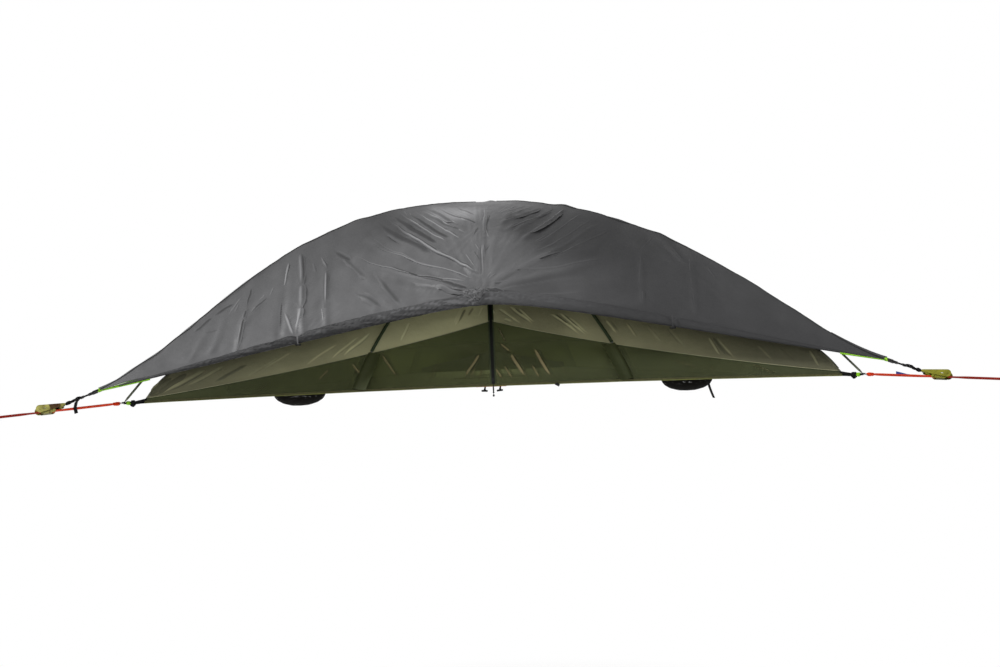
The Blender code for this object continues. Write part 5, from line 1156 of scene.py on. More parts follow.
# raised folds on the front panel, in plan: x, y, x, y, width, strength
flyPleats = [
    (-0.062, -0.784, -0.616, -0.393, 0.014, 1), (-0.24, -0.539, -0.552, -0.333, 0.014, 0.95),
    (-0.153, -0.529, -0.461, -0.283, 0.013, 0.8), (-0.124, -0.491, -0.423, -0.261, 0.012, 0.45),
    (-0.18, -0.423, -0.352, -0.22, 0.012, 0.45), (-0.046, -0.438, -0.316, -0.236, 0.014, -0.8),
    (-0.056, -0.818, -0.778, -0.516, 0.012, 0.85), (-0.097, -0.841, -0.932, -0.591, 0.012, 0.8),
    (-0.125, -0.862, -0.649, -0.653, 0.016, -0.9), (-0.125, -0.868, -0.319, -0.806, 0.02, -1),
    (-0.139, -0.89, -0.503, -0.766, 0.022, 0.35), (-0.52, -0.898, -0.674, -0.71, 0.03, -0.45),
    (-0.627, -0.903, -0.813, -0.793, 0.03, -0.45), (-0.82, -0.66, -0.931, -0.623, 0.026, -0.4),
    (-0.728, -0.737, -0.903, -0.623, 0.024, -0.3), (-0.966, -0.715, -0.959, -0.876, 0.012, 0.7),
    (-0.996, -0.658, -0.953, -0.712, 0.012, 0.5), (0.02, -0.338, -0.004, -0.442, 0.012, -0.7),
    (-0.083, -0.52, -0.05, -0.447, 0.01, -0.5), (0.008, -0.53, -0.011, -0.452, 0.01, 0.5),
    (-0.077, -0.582, -0.044, -0.635, 0.009, 0.4), (0.013, -0.59, -0.023, -0.637, 0.009, -0.4),
    (-0.14, -0.638, -0.068, -0.751, 0.01, 0.4), (-0.085, -0.63, -0.046, -0.71, 0.009, -0.4),
    (-0.478, -0.32, -0.463, -0.348, 0.008, 0.6), (-0.513, -0.321, -0.484, -0.356, 0.008, 0.5),
    (-1.18, -0.715, -1.206, -0.811, 0.013, 0.8), (-1.213, -0.853, -1.214, -0.992, 0.012, -0.6),
    (-1.115, -0.675, -1.102, -0.799, 0.022, 0.6), (-1.104, -0.785, -1.099, -0.895, 0.024, 0.45),
    (-1.099, -0.887, -1.121, -0.994, 0.02, 0.5), (-1.132, -0.994, -1.196, -0.888, 0.016, 0.5),
    (-1.042, -0.687, -1.022, -0.739, 0.014, 0.3), (-1.39, -0.833, -1.413, -0.904, 0.011, -0.55),
    (-1.42, -0.934, -1.45, -1.059, 0.012, -0.8), (-1.414, -0.904, -1.426, -0.944, 0.012, -0.6),
    (-1.292, -0.849, -1.405, -0.926, 0.01, -0.5), (-1.439, -0.864, -1.524, -0.941, 0.012, 0.25),
    (-1.486, -0.891, -1.604, -0.956, 0.016, -0.55), (-1.599, -0.953, -1.72, -1.022, 0.016, -0.55),
    (-1.262, -0.807, -1.286, -0.854, 0.01, 0.3), (-1.309, -0.839, -1.346, -0.868, 0.009, 0.3),
    (-0.98, -0.87, -0.962, -0.954, 0.01, 0.5), (-1.453, -0.885, -1.482, -0.923, 0.009, 0.25),
    (-1.563, -0.983, -1.651, -1.009, 0.012, -0.3), (0.5, -0.296, 0.211, -0.54, 0.014, 1),
    (0.378, -0.491, 0.263, -0.577, 0.011, 0.35), (0.651, -0.425, 0.249, -0.65, 0.016, 0.35),
    (0.771, -0.498, 0.227, -0.717, 0.014, 0.45), (0.362, -0.324, 0.104, -0.494, 0.012, 0.5),
    (0.431, -0.275, 0.17, -0.45, 0.014, -0.4), (0.303, -0.223, 0.091, -0.362, 0.011, 0.45),
    (0.227, -0.233, 0.072, -0.378, 0.01, 0.4), (0.153, -0.187, 0.045, -0.338, 0.009, 0.4),
    (0.293, -0.394, 0.141, -0.481, 0.01, 0.35), (0.694, -0.671, 0.1, -0.779, 0.018, 0.2),
    (0.132, -0.836, -0.017, -0.858, 0.009, 0.3), (-0.022, -0.875, 0.103, -0.891, 0.012, -1),
    (0.91, -0.665, 0.875, -0.835, 0.011, 0.25), (0.889, -0.85, 0.885, -0.944, 0.01, 0.2),
    (1.19, -0.726, 1.184, -0.802, 0.011, 0.3), (1.184, -0.802, 1.183, -0.961, 0.011, 0.3),
    (1.002, -0.598, 0.875, -0.661, 0.01, 0.2), (1.083, -0.655, 1.164, -0.745, 0.01, 0.2),
    (1.282, -0.778, 1.337, -0.848, 0.01, 0.15), (0.038, -0.785, -0.012, -0.832, 0.009, 0.4),
    (0.017, -0.771, -0.02, -0.819, 0.008, 0.4),
    (-0.010, -0.250, -0.028, -0.560, 0.014, 0.35), (-0.030, -0.575, -0.036, -0.862, 0.012, 0.4),
    (-0.044, -0.575, -0.050, -0.862, 0.009, -0.4),
    (-0.30, -0.550, -0.585, -0.365, 0.030, -0.65), (-0.22, -0.520, -0.500, -0.315, 0.024, -0.6),
    (-0.15, -0.480, -0.440, -0.275, 0.020, -0.5), (-0.20, -0.400, -0.390, -0.243, 0.020, -0.6),
    (-0.33, -0.620, -0.680, -0.425, 0.040, -0.45), (-0.12, -0.400, -0.300, -0.215, 0.012, 0.7),
    (-0.10, -0.360, -0.240, -0.200, 0.010, 0.6), (-0.08, -0.330, -0.190, -0.190, 0.012, -0.6),
    (-0.10, -0.760, -0.420, -0.520, 0.010, 0.45), (-0.25, -0.740, -0.800, -0.470, 0.012, 0.4),
    (0.47, -0.330, 0.220, -0.520, 0.028, -0.3), (0.34, -0.260, 0.120, -0.400, 0.024, -0.3),
    (0.26, -0.210, 0.080, -0.320, 0.018, -0.3), (0.20, -0.200, 0.060, -0.330, 0.010, 0.6),
    (0.60, -0.370, 0.240, -0.600, 0.012, 0.45), (0.70, -0.455, 0.300, -0.680, 0.030, -0.4)]
# the two rear panels have the longer of every third fold turned round, fainter
rearPleats = [line for line in flyPleats[::3] if math.hypot(line[2] - line[0], line[3] - line[1]) > 0.12]


def flyPaintedLight(x, y):
    return sum(amount * np.exp(-((x - sx) / wide) ** 2 - ((y - sy) / deep) ** 2)
               for sx, sy, wide, deep, amount in flyShade["patches"])


def flyHem(share):
    rounded = np.hypot(share, fly["hemRound"]) - fly["hemRound"]
    full = math.hypot(1, fly["hemRound"]) - fly["hemRound"]
    return fly["hemHeight"] - (fly["hemHeight"] - fly["tipHeight"]) * rounded / full


def flyRoll(share):
    return fly["tipRoll"] + (fly["hemRoll"] - fly["tipRoll"]) * (1 - share ** 4)


def flyHeight(share, out, slack):
    ridge = 1 - out ** 2 * (1 + fly["ridgeBulge"] * out ** 3 * (1 - out) + slack * (1 - out) ** 2)
    middle = 1 - out ** 2 * (1 + fly["middleBulge"] * (1 - out))
    blend = share * share
    base = flyHem(share) + flyRoll(share)
    ripple = fly["foldDepth"] * np.cos(2 * math.pi * fly["folds"] * share) * (1 - blend) * out ** 2 * (1 - out)
    return base + (fly["top"] - base) * (ridge * blend + middle * (1 - blend)) + ripple


def flySlack(side, share):
    return ridgeSlack[sideEnds[side][int(share > 0)]]


def makeFly():
    places = ringPlaces(fly["front"], fly["others"])
    side = np.array([place[0] for place in places])
    share = np.array([place[1] for place in places])
    slack = np.array([flySlack(*place) for place in places])
    x = share * flyEnd
    y = edgeLine(x, flyCut)
    outs = np.concatenate([np.linspace(1, 0.90, 25), np.linspace(0.90, 0.02, fly["rows"] - 10)[1:], [0.0]])
    curls = np.radians([180, 150, 120, 90, 60, 30])
    plan, rows, marks = [], [], []
    for a in curls:
        radius = flyRoll(share)
        size = np.hypot(x, y)
        away = radius * (1 - np.cos(a)) / size
        plan.append(np.stack([x * (1 - away), y * (1 - away)], axis=1))
        rows.append(flyHeight(share, 1.0, 0.0) - radius * np.sin(a))
        marks.append(np.stack([x, -radius * a + 0 * x], axis=1))
    for out in outs:
        plan.append(np.stack([x * out, y * out], axis=1))
        rows.append(flyHeight(share, out, slack))
        marks.append(np.stack([x * out, (1 - out) * 1.25 + 0 * x], axis=1))
    plan, rows, marks = np.array(plan), np.array(rows), np.array(marks)
    # folds and gathers in each side's own plan; the two rear sides have them fainter
    strength = np.where(side == 0, 1.0, 0.6)[None]
    lift, light = np.zeros(rows.shape), np.zeros(rows.shape)
    for x1, y1, x2, y2, width, height in flyFolds:
        one, two = fold(plan, (x1, y1), (x2, y2), width * 1.1)
        lift += one * height * 0.8
        light += two * height * flyShade["folds"]
    for gx, gy, reach, spokes, height in flyGathers:
        away = plan - np.array((gx, gy))
        distance = np.linalg.norm(away, axis=-1)
        turn = np.arctan2(away[..., 0], away[..., 1])
        rays = np.array([noise.noise(Vector((t * spokes, d * 1.3, gx * 9))) for t, d in
                         zip(turn.ravel(), distance.ravel())]).reshape(turn.shape)
        sharp = np.clip(1 - 3.2 * np.abs(rays), 0, 1) ** 2
        near = height * eased(distance / 0.06) * np.exp(-(distance / reach) ** 2)
        lift += (rays * 0.7 + sharp * 0.9) * near
        light += (sharp - 0.25) * near * flyShade["gathers"]
    flatPoints = np.concatenate([plan, rows[..., None]], axis=2)
    quiet = 0.55 + 0.45 * (plan[..., 0] < 0.1)
    lift += (crinkle(flatPoints, 0.21, 41) * 0.010 + crinkle(flatPoints, 0.075, 43) * 0.0045 * quiet
             + crinkle(flatPoints, 0.03, 47) * 0.0016 * quiet)
    seam = np.exp(-(plan[..., 0] / 0.012) ** 2) * (np.abs(plan[..., 1]) > 0.40)
    lift -= seam * 0.004
    distance = np.linalg.norm(plan, axis=-1)
    lift *= strength * eased((distance - 0.10) / 0.16)
    lift[:len(curls)] *= 0.0
    lift[len(curls):] *= eased((1.0 - outs) * 12 + 0.1)[:, None]
    turned = np.radians(120 * side)[None]
    points = np.stack([plan[..., 0] * np.cos(turned) - plan[..., 1] * np.sin(turned),
                       plan[..., 0] * np.sin(turned) + plan[..., 1] * np.cos(turned), rows], axis=2)
    points = lifted(points, lift, True)
    light *= strength * eased((distance - 0.10) / 0.16)
    # painted light and shade patches on the front panel
    light += flyPaintedLight(plan[..., 0], plan[..., 1]) * (side == 0)[None]
    # painted shade: a dark line along the upper edge of the turned hem on the right, and a little darker below
    # it
    edge = np.interp(share, *zip(*flyHemLine))[None]
    kept = (side == 0) * eased((share + 0.03) / 0.04) * eased((0.8 - share) / 0.5)
    level = np.concatenate([np.ones(len(curls)), outs])[:, None]
    light -= (1.0 * np.exp(-((level - edge) / 0.008) ** 2) + 0.12 * (level > edge)) * kept[None]
    light[:len(curls)] = 0.0
    for bx, by, reach, height in flyBumps:
        away = (points[..., 0] - bx) ** 2 + (points[..., 1] - by) ** 2
        points[..., 2] += height * np.exp(-away / reach ** 2)
    cover = makeSheet("flyCloth", points, fly["thickness"], -1, marks, 60, light)
    dressed(cover, "fly", "rainfly")
    makePleats("flyPleats", cover, flyPleats, "fly", True, flyPaintedLight, 1.15)
    for name, degrees in (("Right", 120), ("Left", 240)):
        lines = [(*turnedPoint(x1, y1, degrees), *turnedPoint(x2, y2, degrees), width, strength)
                 for x1, y1, x2, y2, width, strength in rearPleats]
        makePleats(f"flyPleats{name}", cover, lines, "fly", True, None, 0.55)
    # seams along the ridges, painted darker than the fly as painted shade of its far side
    for name, column in (("left", 0), ("right", fly["front"] - 1), ("rear", fly["front"] + fly["others"] - 1)):
        ridge = points[len(curls):-2, column] + np.array((0, 0, fly["seamLift"]))
        dressed(makeTube(f"ridgeSeam_{name}", ridge, fly["seamRadius"], 6), "seam")


# two values are for the left and the right half
hemRoll = {"tall": (0.029, 0.038), "deep": (0.023, 0.010), "lean": (76, 66), "crumple": (0.30, 0.07),
           "end": 0.955, "least": 0.003, "pinch": 0.35, "pinchWidth": 0.012, "ties": (-0.507, 0.476),
           "gather": -0.035, "stations": 700, "sides": 26,
           "light": ((-1.7, -0.25), (-1.17, -0.5), (-0.87, -0.35), (-0.56, -0.12), (-0.36, 0.05), (-0.18, 0.3),
                     (0, 0.1), (0.6, 0.22), (1.2, 0.2), (1.8, 0.0))}


def makeHemRoll():
    # the front hem is rolled up and tied: a crumpled rope on the left, a flat turned band on the right
    rows, shades = [], []
    turns = np.linspace(0, 2 * math.pi, hemRoll["sides"] + 1)
    for share in np.linspace(-hemRoll["end"], hemRoll["end"], hemRoll["stations"]):
        x = share * flyEnd
        y = edgeLine(x, flyCut)
        slope = -2 * flyCut["drawIn"] * x / (flyCut["anchor"] * cos30) ** 2
        outward = Vector((slope, -1, 0)).normalized()
        right = float(eased((share + 0.06) / 0.12))
        thin = float(eased((1.02 - abs(share)) / (0.9 if right > 0.5 else 0.75))) ** 0.8
        tall, deep, lean, crumple = [a + (b - a) * right for a, b in
                                     (hemRoll["tall"], hemRoll["deep"], hemRoll["lean"], hemRoll["crumple"])]
        drawn = (*hemRoll["ties"], hemRoll["gather"])
        near = sum(math.exp(-((share - at) / hemRoll["pinchWidth"]) ** 2) for at in drawn)
        pinch = 1 - hemRoll["pinch"] * near
        tall, deep = [hemRoll["least"] + size * thin * pinch for size in (tall, deep)]
        lean = math.radians(lean)
        down = outward * math.cos(lean) + Vector((0, 0, -1)) * math.sin(lean)
        out = outward * math.sin(lean) + Vector((0, 0, 1)) * math.cos(lean)
        middle = Vector((x, y, float(flyHem(share)))) - down * tall + out * (deep * 0.35)
        # painted light and shade along x
        tint = float(np.interp(x, *zip(*hemRoll["light"])))
        row = []
        shades.append([])
        for turn in turns:
            across = turn + x * 7
            around = (math.cos(across) * 2.4, math.sin(across) * 2.4)
            strand = noise.noise(Vector((x * 5, *around)))
            second = noise.noise(Vector((x * 7 + 30, *around)))
            bulge = noise.noise(Vector((x * 13, 0, 11)))
            # the strands shape the roll and are also painted bright and dark as painted highlights and painted
            # shade
            strands = 0.65 * max(0, 1 - 5 * abs(strand)) - 0.75 * max(0, 1 - 5 * abs(second))
            # painted shade on the roll's underside, painted light on its outer side
            under = -0.55 * max(math.cos(turn) - 0.1, 0) + 0.2 * max(math.sin(turn - 0.5), 0)
            shades[-1].append(under + strands * (1 - 0.75 * right) + tint)
            size = 1 + crumple * (0.4 * bulge + 1.6 * strand + 0.5 * strands)
            high, wide = math.cos(turn) * tall * min(size, 1.12), math.sin(turn) * deep * size
            row.append(middle + down * high + out * wide)
        rows.append([tuple(point) for point in row])
    rows = np.array(rows)
    ends = [np.repeat(rows[i:i + 1].mean(axis=1, keepdims=True), rows.shape[1], 1) for i in (0, -1)]
    rows = np.concatenate([ends[0], rows, ends[1]])
    roll = makeSheet("flyHemRoll", rows, 0, smooth=70, creases=np.array([shades[0], *shades, shades[-1]]))
    dressed(roll, "roll")


trim = {"radius": 0.0060, "tip": 0.0024, "reach": {"left": 0.118, "right": 0.106, "rear": 0.11}}


def makeTrims():
    # lime edging along the hem on both sides of each corner
    sizes = np.linspace(1, trim["tip"] / trim["radius"], 40)
    for side, pair in enumerate(sideEnds):
        for name, sign in zip(pair, (-1, 1)):
            path = []
            for share in np.linspace(1 - trim["reach"][name], 0.998, 40):
                x = sign * share * flyEnd
                y = edgeLine(x, flyCut)
                scale = 1 - (float(flyRoll(share)) * 0.6) / math.hypot(x, y)
                path.append((*turnedPoint(x * scale, y * scale, 120 * side), float(flyHem(share)) - 0.001))
            line = makeTube(f"limeEdge_{name}_{side}", path, trim["radius"], 8, False, sizes)
            dressed(line, "lime")


hemToggle = {"radius": 0.0055, "length": 0.034, "out": 0.012, "drop": 0.008, "tilt": 8, "edge": 0.0016,
             "tie": ((0.004, 0.066), (-0.014, 0.045), (-0.016, 0.02), (-0.004, -0.004), (0.004, -0.012)),
             "tieWidth": 0.009, "tieThickness": 0.0015}
# bunched cloth where the middle of the hem is gathered: place, half sizes, seed
hemKnots = {"hemKnot": ((0, -0.010, 0.052), (0.036, 0.026, 0.030), 2),
            "hemKnotLeft": ((-0.036, -0.004, 0.062), (0.026, 0.018, 0.020), 6),
            "hemKnotRight": ((0.026, -0.008, 0.076), (0.024, 0.018, 0.018), 11),
            "hemKnotFall": ((-0.012, -0.012, 0.022), (0.026, 0.020, 0.020), 15)}


def makeHemToggles():
    # a short barrel on a loop at each tie, and the knot that gathers the middle
    for name, share in zip(("left", "right"), hemRoll["ties"]):
        x = share * flyEnd
        y = edgeLine(x, flyCut) - hemToggle["out"]
        low = float(flyHem(share))
        barrel = makeBarrel(f"hemToggle_{name}", 20, hemToggle["radius"], hemToggle["length"],
                            (x, y, low - hemToggle["drop"]), (0, 90, hemToggle["tilt"]), hemToggle["edge"])
        dressed(barrel, "plastic")
        path = resampled([(x, y + out, low + up) for out, up in hemToggle["tie"]], 16)
        loop = makeBand(f"hemTie_{name}", path, hemToggle["tieWidth"], hemToggle["tieThickness"], (1, 0, 0), 3)
        dressed(loop, "fly")
    share = hemRoll["gather"] - 0.005
    x = share * flyEnd
    middle = Vector((x, edgeLine(x, flyCut), float(flyHem(share)) + 0.010))
    for name, (place, half, seed) in hemKnots.items():
        dressed(makeLump(name, Matrix.Translation(middle + Vector(place)), half, 0.5, seed, 5), "fly")


# pouches and pocket

pouch = {"distance": 1.335, "radius": 0.155, "depth": 0.088, "thickness": 0.0012, "height": -0.0044,
         "rim": 0.003, "profile": ((1.0, 0.0), (0.99, 0.15), (0.96, 0.35), (0.86, 0.58), (0.66, 0.8),
                                   (0.36, 0.95), (0.02, 1.0))}


def makePouches():
    shares = np.array(pouch["profile"])
    steps = np.linspace(0, 1, 26)
    wide, deep = [np.interp(steps, np.linspace(0, 1, len(shares)), shares[:, i]) for i in (0, 1)]
    turns = np.linspace(0, 2 * math.pi, 73)
    for index, (name, degrees) in enumerate(corners.items()):
        spin = turnAbout("Z", degrees) @ shift(pouch["distance"], 0, pouch["height"])
        rows = []
        for w, d in zip(wide[::-1], deep[::-1]):
            ring = []
            for turn in turns:
                slack = noise.noise(Vector((math.cos(turn) * 2, math.sin(turn) * 2, d * 2 + index)))
                gather = 1 + 0.02 * math.sin(turn * 17) * (1 - d) + 0.03 * slack
                radius = pouch["radius"] * w * min(gather, 1.01)
                ring.append((radius * math.cos(turn), radius * math.sin(turn), -pouch["depth"] * d * 0.985))
            rows.append(carried(spin, ring))
        bag = makeSheet(f"netPouch_{name}", rows, pouch["thickness"], 0)
        dressed(bag, "net", f"gear_pouch_{name}")
        radius = pouch["radius"] * 0.99
        rim = carried(spin, [(radius * math.cos(turn), radius * math.sin(turn), -0.004) for turn in turns])
        dressed(makeTube(f"pouchRim_{name}", rim, pouch["rim"], 8, True), "blackWebbing")


pocket = {"place": 0.80, "height": 0.13, "sideHeight": 0.03, "clearance": 0.05, "thickness": 0.0015,
          "edge": 0.003}


def makePocket():
    def rearEdge(x):
        return turnedPoint(x, edgeLine(x, floorCut), 120)
    half = rearEdge(solve(lambda x: rearEdge(x)[1] - pocket["place"], -floorEnd, floorEnd))[0]
    half -= pocket["clearance"]
    columns = np.linspace(-1, 1, 61)
    tops = pocket["sideHeight"] + (pocket["height"] - pocket["sideHeight"]) * (1 - abs(columns))
    rows = []
    for up in np.linspace(0, 1, 15):
        row = []
        for c, top in zip(columns, tops):
            wave = 1 + 0.6 * noise.noise(Vector((c * 5, up * 2, 0)))
            sag = 0.012 * math.sin(math.pi * up) * (1 - c * c) * wave
            row.append((half * c, pocket["place"] + 0.001 - sag, touchGap + (top - touchGap) * up))
        rows.append(row)
    panel = makeSheet("rearPocket", rows, pocket["thickness"], 0)
    dressed(panel, "pocket", "rear_pocket")
    2 * half
    2 * half * 0.081
    edge = [(half * c, pocket["place"], top) for c, top in zip(columns, tops)]
    dressed(makeTube("pocketEdge", edge, pocket["edge"], 8), "blackWebbing")


# corner chain

chain = {"ring": 2.40, "barSpacing": 0.022, "wire": 0.00225, "eyeGap": 0.0006, "ply": 0.0015,
         "loopStart": 2.155, "loopNose": 2.285, "loopLevel": -0.0059, "drop": 2.4, "lean": 25,
         "bolt": 0.368, "boltRadius": 0.004, "loopWidth": 0.0244, "strapWidth": 0.0246, "bunchRadius": 0.0145,
         "axle": 0.44, "axleHeight": 0.0141375, "eyeOpen": 0.0062, "extraTwist": 7, "guyTurn": 32,
         "wedge": ((2.322, 0, -0.003), (2.295, 0, 0.0), (2.265, 0, 0.003), (2.235, 0, 0.005),
                   (2.205, 0, 0.006), (2.17, 0, 0.006))}
# bunched cloth and wraps at the corner: place, half sizes, paint, seed
cornerLumps = {"cornerKnot": ((2.334, 0, -0.004), (0.0175, 0.0180, 0.0180), "blackWebbing", 8),
               "limeWrap": ((2.360, 0, -0.002), (0.0145, 0.0145, 0.0105), "lime", 12),
               "loopEnd": ((2.381, 0, 0.0), (0.0125, 0.0135, 0.0062), "blackWebbing", 3)}
tag = {"from": 0.168, "to": 0.240, "edge": -0.0126, "thickness": 0.0012, "stand": 0.016}
tree = {"turn": 9, "length": 0.30, "width": 0.025, "loop": 0.15, "loopWidth": 0.0246, "height": 0.05,
        "nose": 0.012, "ply": 0.0016}
wound = {"start": 0.0074, "turns": 2.25, "gap": 0.00055, "ply": 0.0016, "width": 0.0248, "points": 36}
stay = {"turn": 40, "width": 0.0145, "thickness": 0.0014, "foot": 0.016, "reach": 0.34, "top": 0.020}
guy = {"start": 0.0643, "width": 0.020, "thickness": 0.0016, "lock": 0.092, "lockLength": 0.018, "tail": 0.122,
       "tailSide": 0.0165, "tailLength": 0.078, "hookReach": 0.0383, "handle": 0.130, "rise": 0.010,
       "blown": ((0.112, 0, 0.003), (0.118, 0.004, 0.012), (0.132, 0.006, 0.017), (0.146, 0.006, 0.010),
                 (0.160, 0.008, 0.004), (0.176, 0.008, 0.003), (0.192, 0.010, 0.010)),
       "end": ((0.106, 0, 0.0030), (0.116, 0, 0.0085), (0.128, 0, 0.0105), (0.142, 0, 0.0055),
               (0.160, 0, 0.0050)),
       "endWidth": 0.017, "endThickness": 0.0015, "coneRadius": 0.0098,
       "tailLean": (0, 0.001, 0.006, 0.018, 0.026, 0.020)}
ringBar = chain["ring"] - chain["barSpacing"] / 2
eyeRadius = chain["wire"] + chain["eyeGap"] + chain["ply"] / 2
tipDistance = math.hypot(flyEnd, edgeLine(flyEnd, flyCut))


def roundBar(middle, radius, start, stop):  # the way a strap takes round a bar
    turns = np.radians(np.linspace(start, stop, 20))
    return [(middle + radius * math.cos(a), 0, radius * math.sin(a)) for a in turns]


def basis(start, along, across):
    x = along.normalized()
    y = (across - x * across.dot(x)).normalized()
    z = x.cross(y)
    return Matrix(((x.x, y.x, z.x, start.x), (x.y, y.y, z.y, start.y), (x.z, y.z, z.z, start.z), (0, 0, 0, 1)))


def acrossOf(matrix):
    return matrix.to_3x3() @ Vector((0, 1, 0))


def strapTurn(x, sign):
    # the strap turns soon after the ring, and eases back to the ratchet's lean
    low, high = chain["barSpacing"] / 2 + 0.012, chain["bolt"] - 0.012
    early = float(eased((x - low) / 0.035))
    middle = float(eased((x - low) / 0.06) * eased((high - x) / 0.10))
    return math.radians(sign * (chain["lean"] * early + chain["extraTwist"] * middle))


def makeLoop(name, corner):
    # black loop round the ring's inner bar, both plies sewn flat under the floor
    start, nose, level = chain["loopStart"], chain["loopNose"], chain["loopLevel"]
    half, near = chain["ply"] * 0.55, ringBar - 0.016
    path = [(start, 0, level - half), (nose, 0, level - half), (near, 0, -half * 1.2)]
    path += roundBar(ringBar, eyeRadius, -150, 150)
    path += [(near, 0, half * 1.2), (nose, 0, level + half), (start, 0, level + half)]
    path = carried(corner, resampled(path, 110))
    loop = makeBand(f"cornerLoop_{name}", path, chain["loopWidth"], chain["ply"] * 0.94, acrossOf(corner))
    dressed(loop, "blackWebbing", f"corner_loop_{name}")
    wedge = resampled(chain["wedge"], 30)
    sizes = 0.62 + 0.38 * eased(np.linspace(0, 2, 30)) + 0.12 * crinkle(wedge[:, None], 0.02, 4)[:, 0]
    bunch = makeTube(f"cornerBunch_{name}", carried(corner, wedge), chain["bunchRadius"], 12, False, sizes)
    dressed(bunch, "blackWebbing")
    for part, (place, half, paint, seed) in cornerLumps.items():
        at = corner @ shift(*place) @ turnAbout("Y", -12)
        dressed(makeLump(f"{part}_{name}", at, half, 0.30, seed), paint)


def makeStay(name, corner):
    # grey stay from the ring up under the fly's ridge
    low = chain["wire"] + chain["eyeGap"] + chain["ply"] + touchGap + stay["thickness"] / 2
    topAt = chain["ring"] - stay["reach"]
    under = 0.0018 / cos30 * 2 + stay["thickness"]
    ends = [(at, 0, float(flyHeight(1.0, at / tipDistance, ridgeSlack[name])) - under)
            for at in (topAt, topAt - stay["top"])]
    half = stay["foot"] / 2
    path = carried(corner, resampled([(ringBar + half, 0, low), (ringBar - half, 0, low), *ends], 60))
    side = np.array(acrossOf(corner))
    other = unit(np.cross(np.gradient(path, axis=0), side))
    steps = np.linspace(0, 1, 60)
    turns = math.radians(twistSigns[name] * stay["turn"]) * eased((steps - 0.03) / 0.06)
    turns *= eased((0.98 - steps) / 0.05)
    ways = side * np.cos(turns)[:, None] + other * np.sin(turns)[:, None]
    tape = makeBand(f"ridgeStay_{name}", path, stay["width"], stay["thickness"] * 0.95, ways, 3)
    dressed(tape, "greyTape", f"ridge_stay_{name}")


def makeShortStrap(name, line):
    # a sewn sling from the ring to the ratchet's bolt, twisting to the ratchet's lean
    sign, ring, bolt = twistSigns[name], chain["barSpacing"] / 2, chain["bolt"]
    boltRound = chain["boltRadius"] + chain["eyeGap"] + chain["ply"] / 2
    gap = chain["ply"] * 0.55
    top = [(x, 0, gap + chain["eyeOpen"] * math.exp(-((x - ring - 0.016) / 0.012) ** 2))
           for x in np.linspace(ring + 0.006, bolt - 0.016, 90)]
    path = top + roundBar(bolt, boltRound, 150, -150)
    path += [(x, 0, -z) for x, _, z in reversed(top)] + roundBar(ring, eyeRadius, -30, -330) + [top[0]]
    path = resampled(path, 220)
    turns = [strapTurn(x, sign) for x, _, _ in path]
    spun = [(x, -z * math.sin(t), z * math.cos(t)) for (x, _, z), t in zip(path, turns)]
    ways = carried(line.to_3x3().to_4x4(), [(0, math.cos(t), math.sin(t)) for t in turns])
    strap = makeBand(f"shortStrap_{name}", carried(line, spun), chain["strapWidth"], chain["ply"] * 0.9, ways)
    dressed(strap, "orange", f"short_strap_{name}")
    eye = makeLump(f"strapEye_{name}", line @ shift(0.025), (0.022, 0.0140, 0.0098), 0.25, 6)
    dressed(eye, "orange")


def makeTag(line, sign):
    # plain tag sewn round the right short strap
    rows = []
    for x in np.linspace(tag["from"], tag["to"], 12):
        t = strapTurn(x, sign)
        edge, stand = tag["edge"], tag["stand"] * (tag["to"] - x) / 0.072
        ring = [(0.010, 0.0030), (0.0, 0.0034), (-0.010, 0.0030), (edge, 0.0012)]
        row = [(x, a * math.cos(t) - b * math.sin(t), a * math.sin(t) + b * math.cos(t)) for a, b in ring]
        row += [(x, edge * math.cos(t) - 0.001, edge * math.sin(t) + stand * up) for up in (0.5, 1)]
        rows.append(carried(line, row))
    dressed(makeSheet("plainTag", rows, tag["thickness"], 0, smooth=30), "blue")


def makeTreeStrap(name, frameAt):
    # the taut run, then the sewn loop
    steps = np.linspace(0.0, tree["length"], 60)
    run = carried(frameAt, [(x, 0, 0) for x in steps])
    turns = math.radians(twistSigns[name] * tree["turn"]) * eased((steps - 0.045) / 0.06)
    ways = [frameAt.to_3x3() @ Vector((0, math.cos(t), math.sin(t))) for t in turns]
    strap = makeBand(f"treeStrap_{name}", run, tree["width"], tree["ply"], ways)
    dressed(strap, "treeOrange", f"tree_strap_{name}")
    stop, far = tree["length"], tree["length"] + tree["loop"]
    wide, nose, ply = tree["height"] / 2 - tree["ply"] / 2, tree["nose"] / 2, tree["ply"]
    arc = [(stop - 0.02, ply), (stop + 0.024, ply), (stop + tree["loop"] / 2, wide * cos30),
           (far - wide, wide), (far - wide * 0.5, wide * 0.86), (far - ply, nose)]
    arc = resampled([(x, 0, z) for x, z in arc] + [(x, 0, -z) for x, z in reversed(arc)], 120)
    loopAt = frameAt @ Matrix.Rotation(turns[-1], 4, "X")
    loop = makeBand(f"treeLoop_{name}", carried(loopAt, arc), tree["loopWidth"], tree["ply"] * 0.9, ways[-1])
    dressed(loop, "treeOrange")


def makeWound(name, axle, side):
    # the strap's end wound on the spool
    count = round(wound["points"] * wound["turns"])
    finish = wound["start"] + (wound["ply"] + wound["gap"]) * wound["turns"]
    path = []
    for i in range(count + 1):
        r = wound["start"] + (finish - wound["start"]) * i / count
        a = math.radians(-90 - 360 * wound["turns"] * (1 - i / count))
        path.append((r * math.cos(a), 0, r * math.sin(a)))
    coil = makeBand(f"woundStrap_{name}", carried(axle, path), wound["width"], wound["ply"] * 0.95, side)
    dressed(coil, "orange", f"wound_strap_{name}", body=f"{name}_spool")


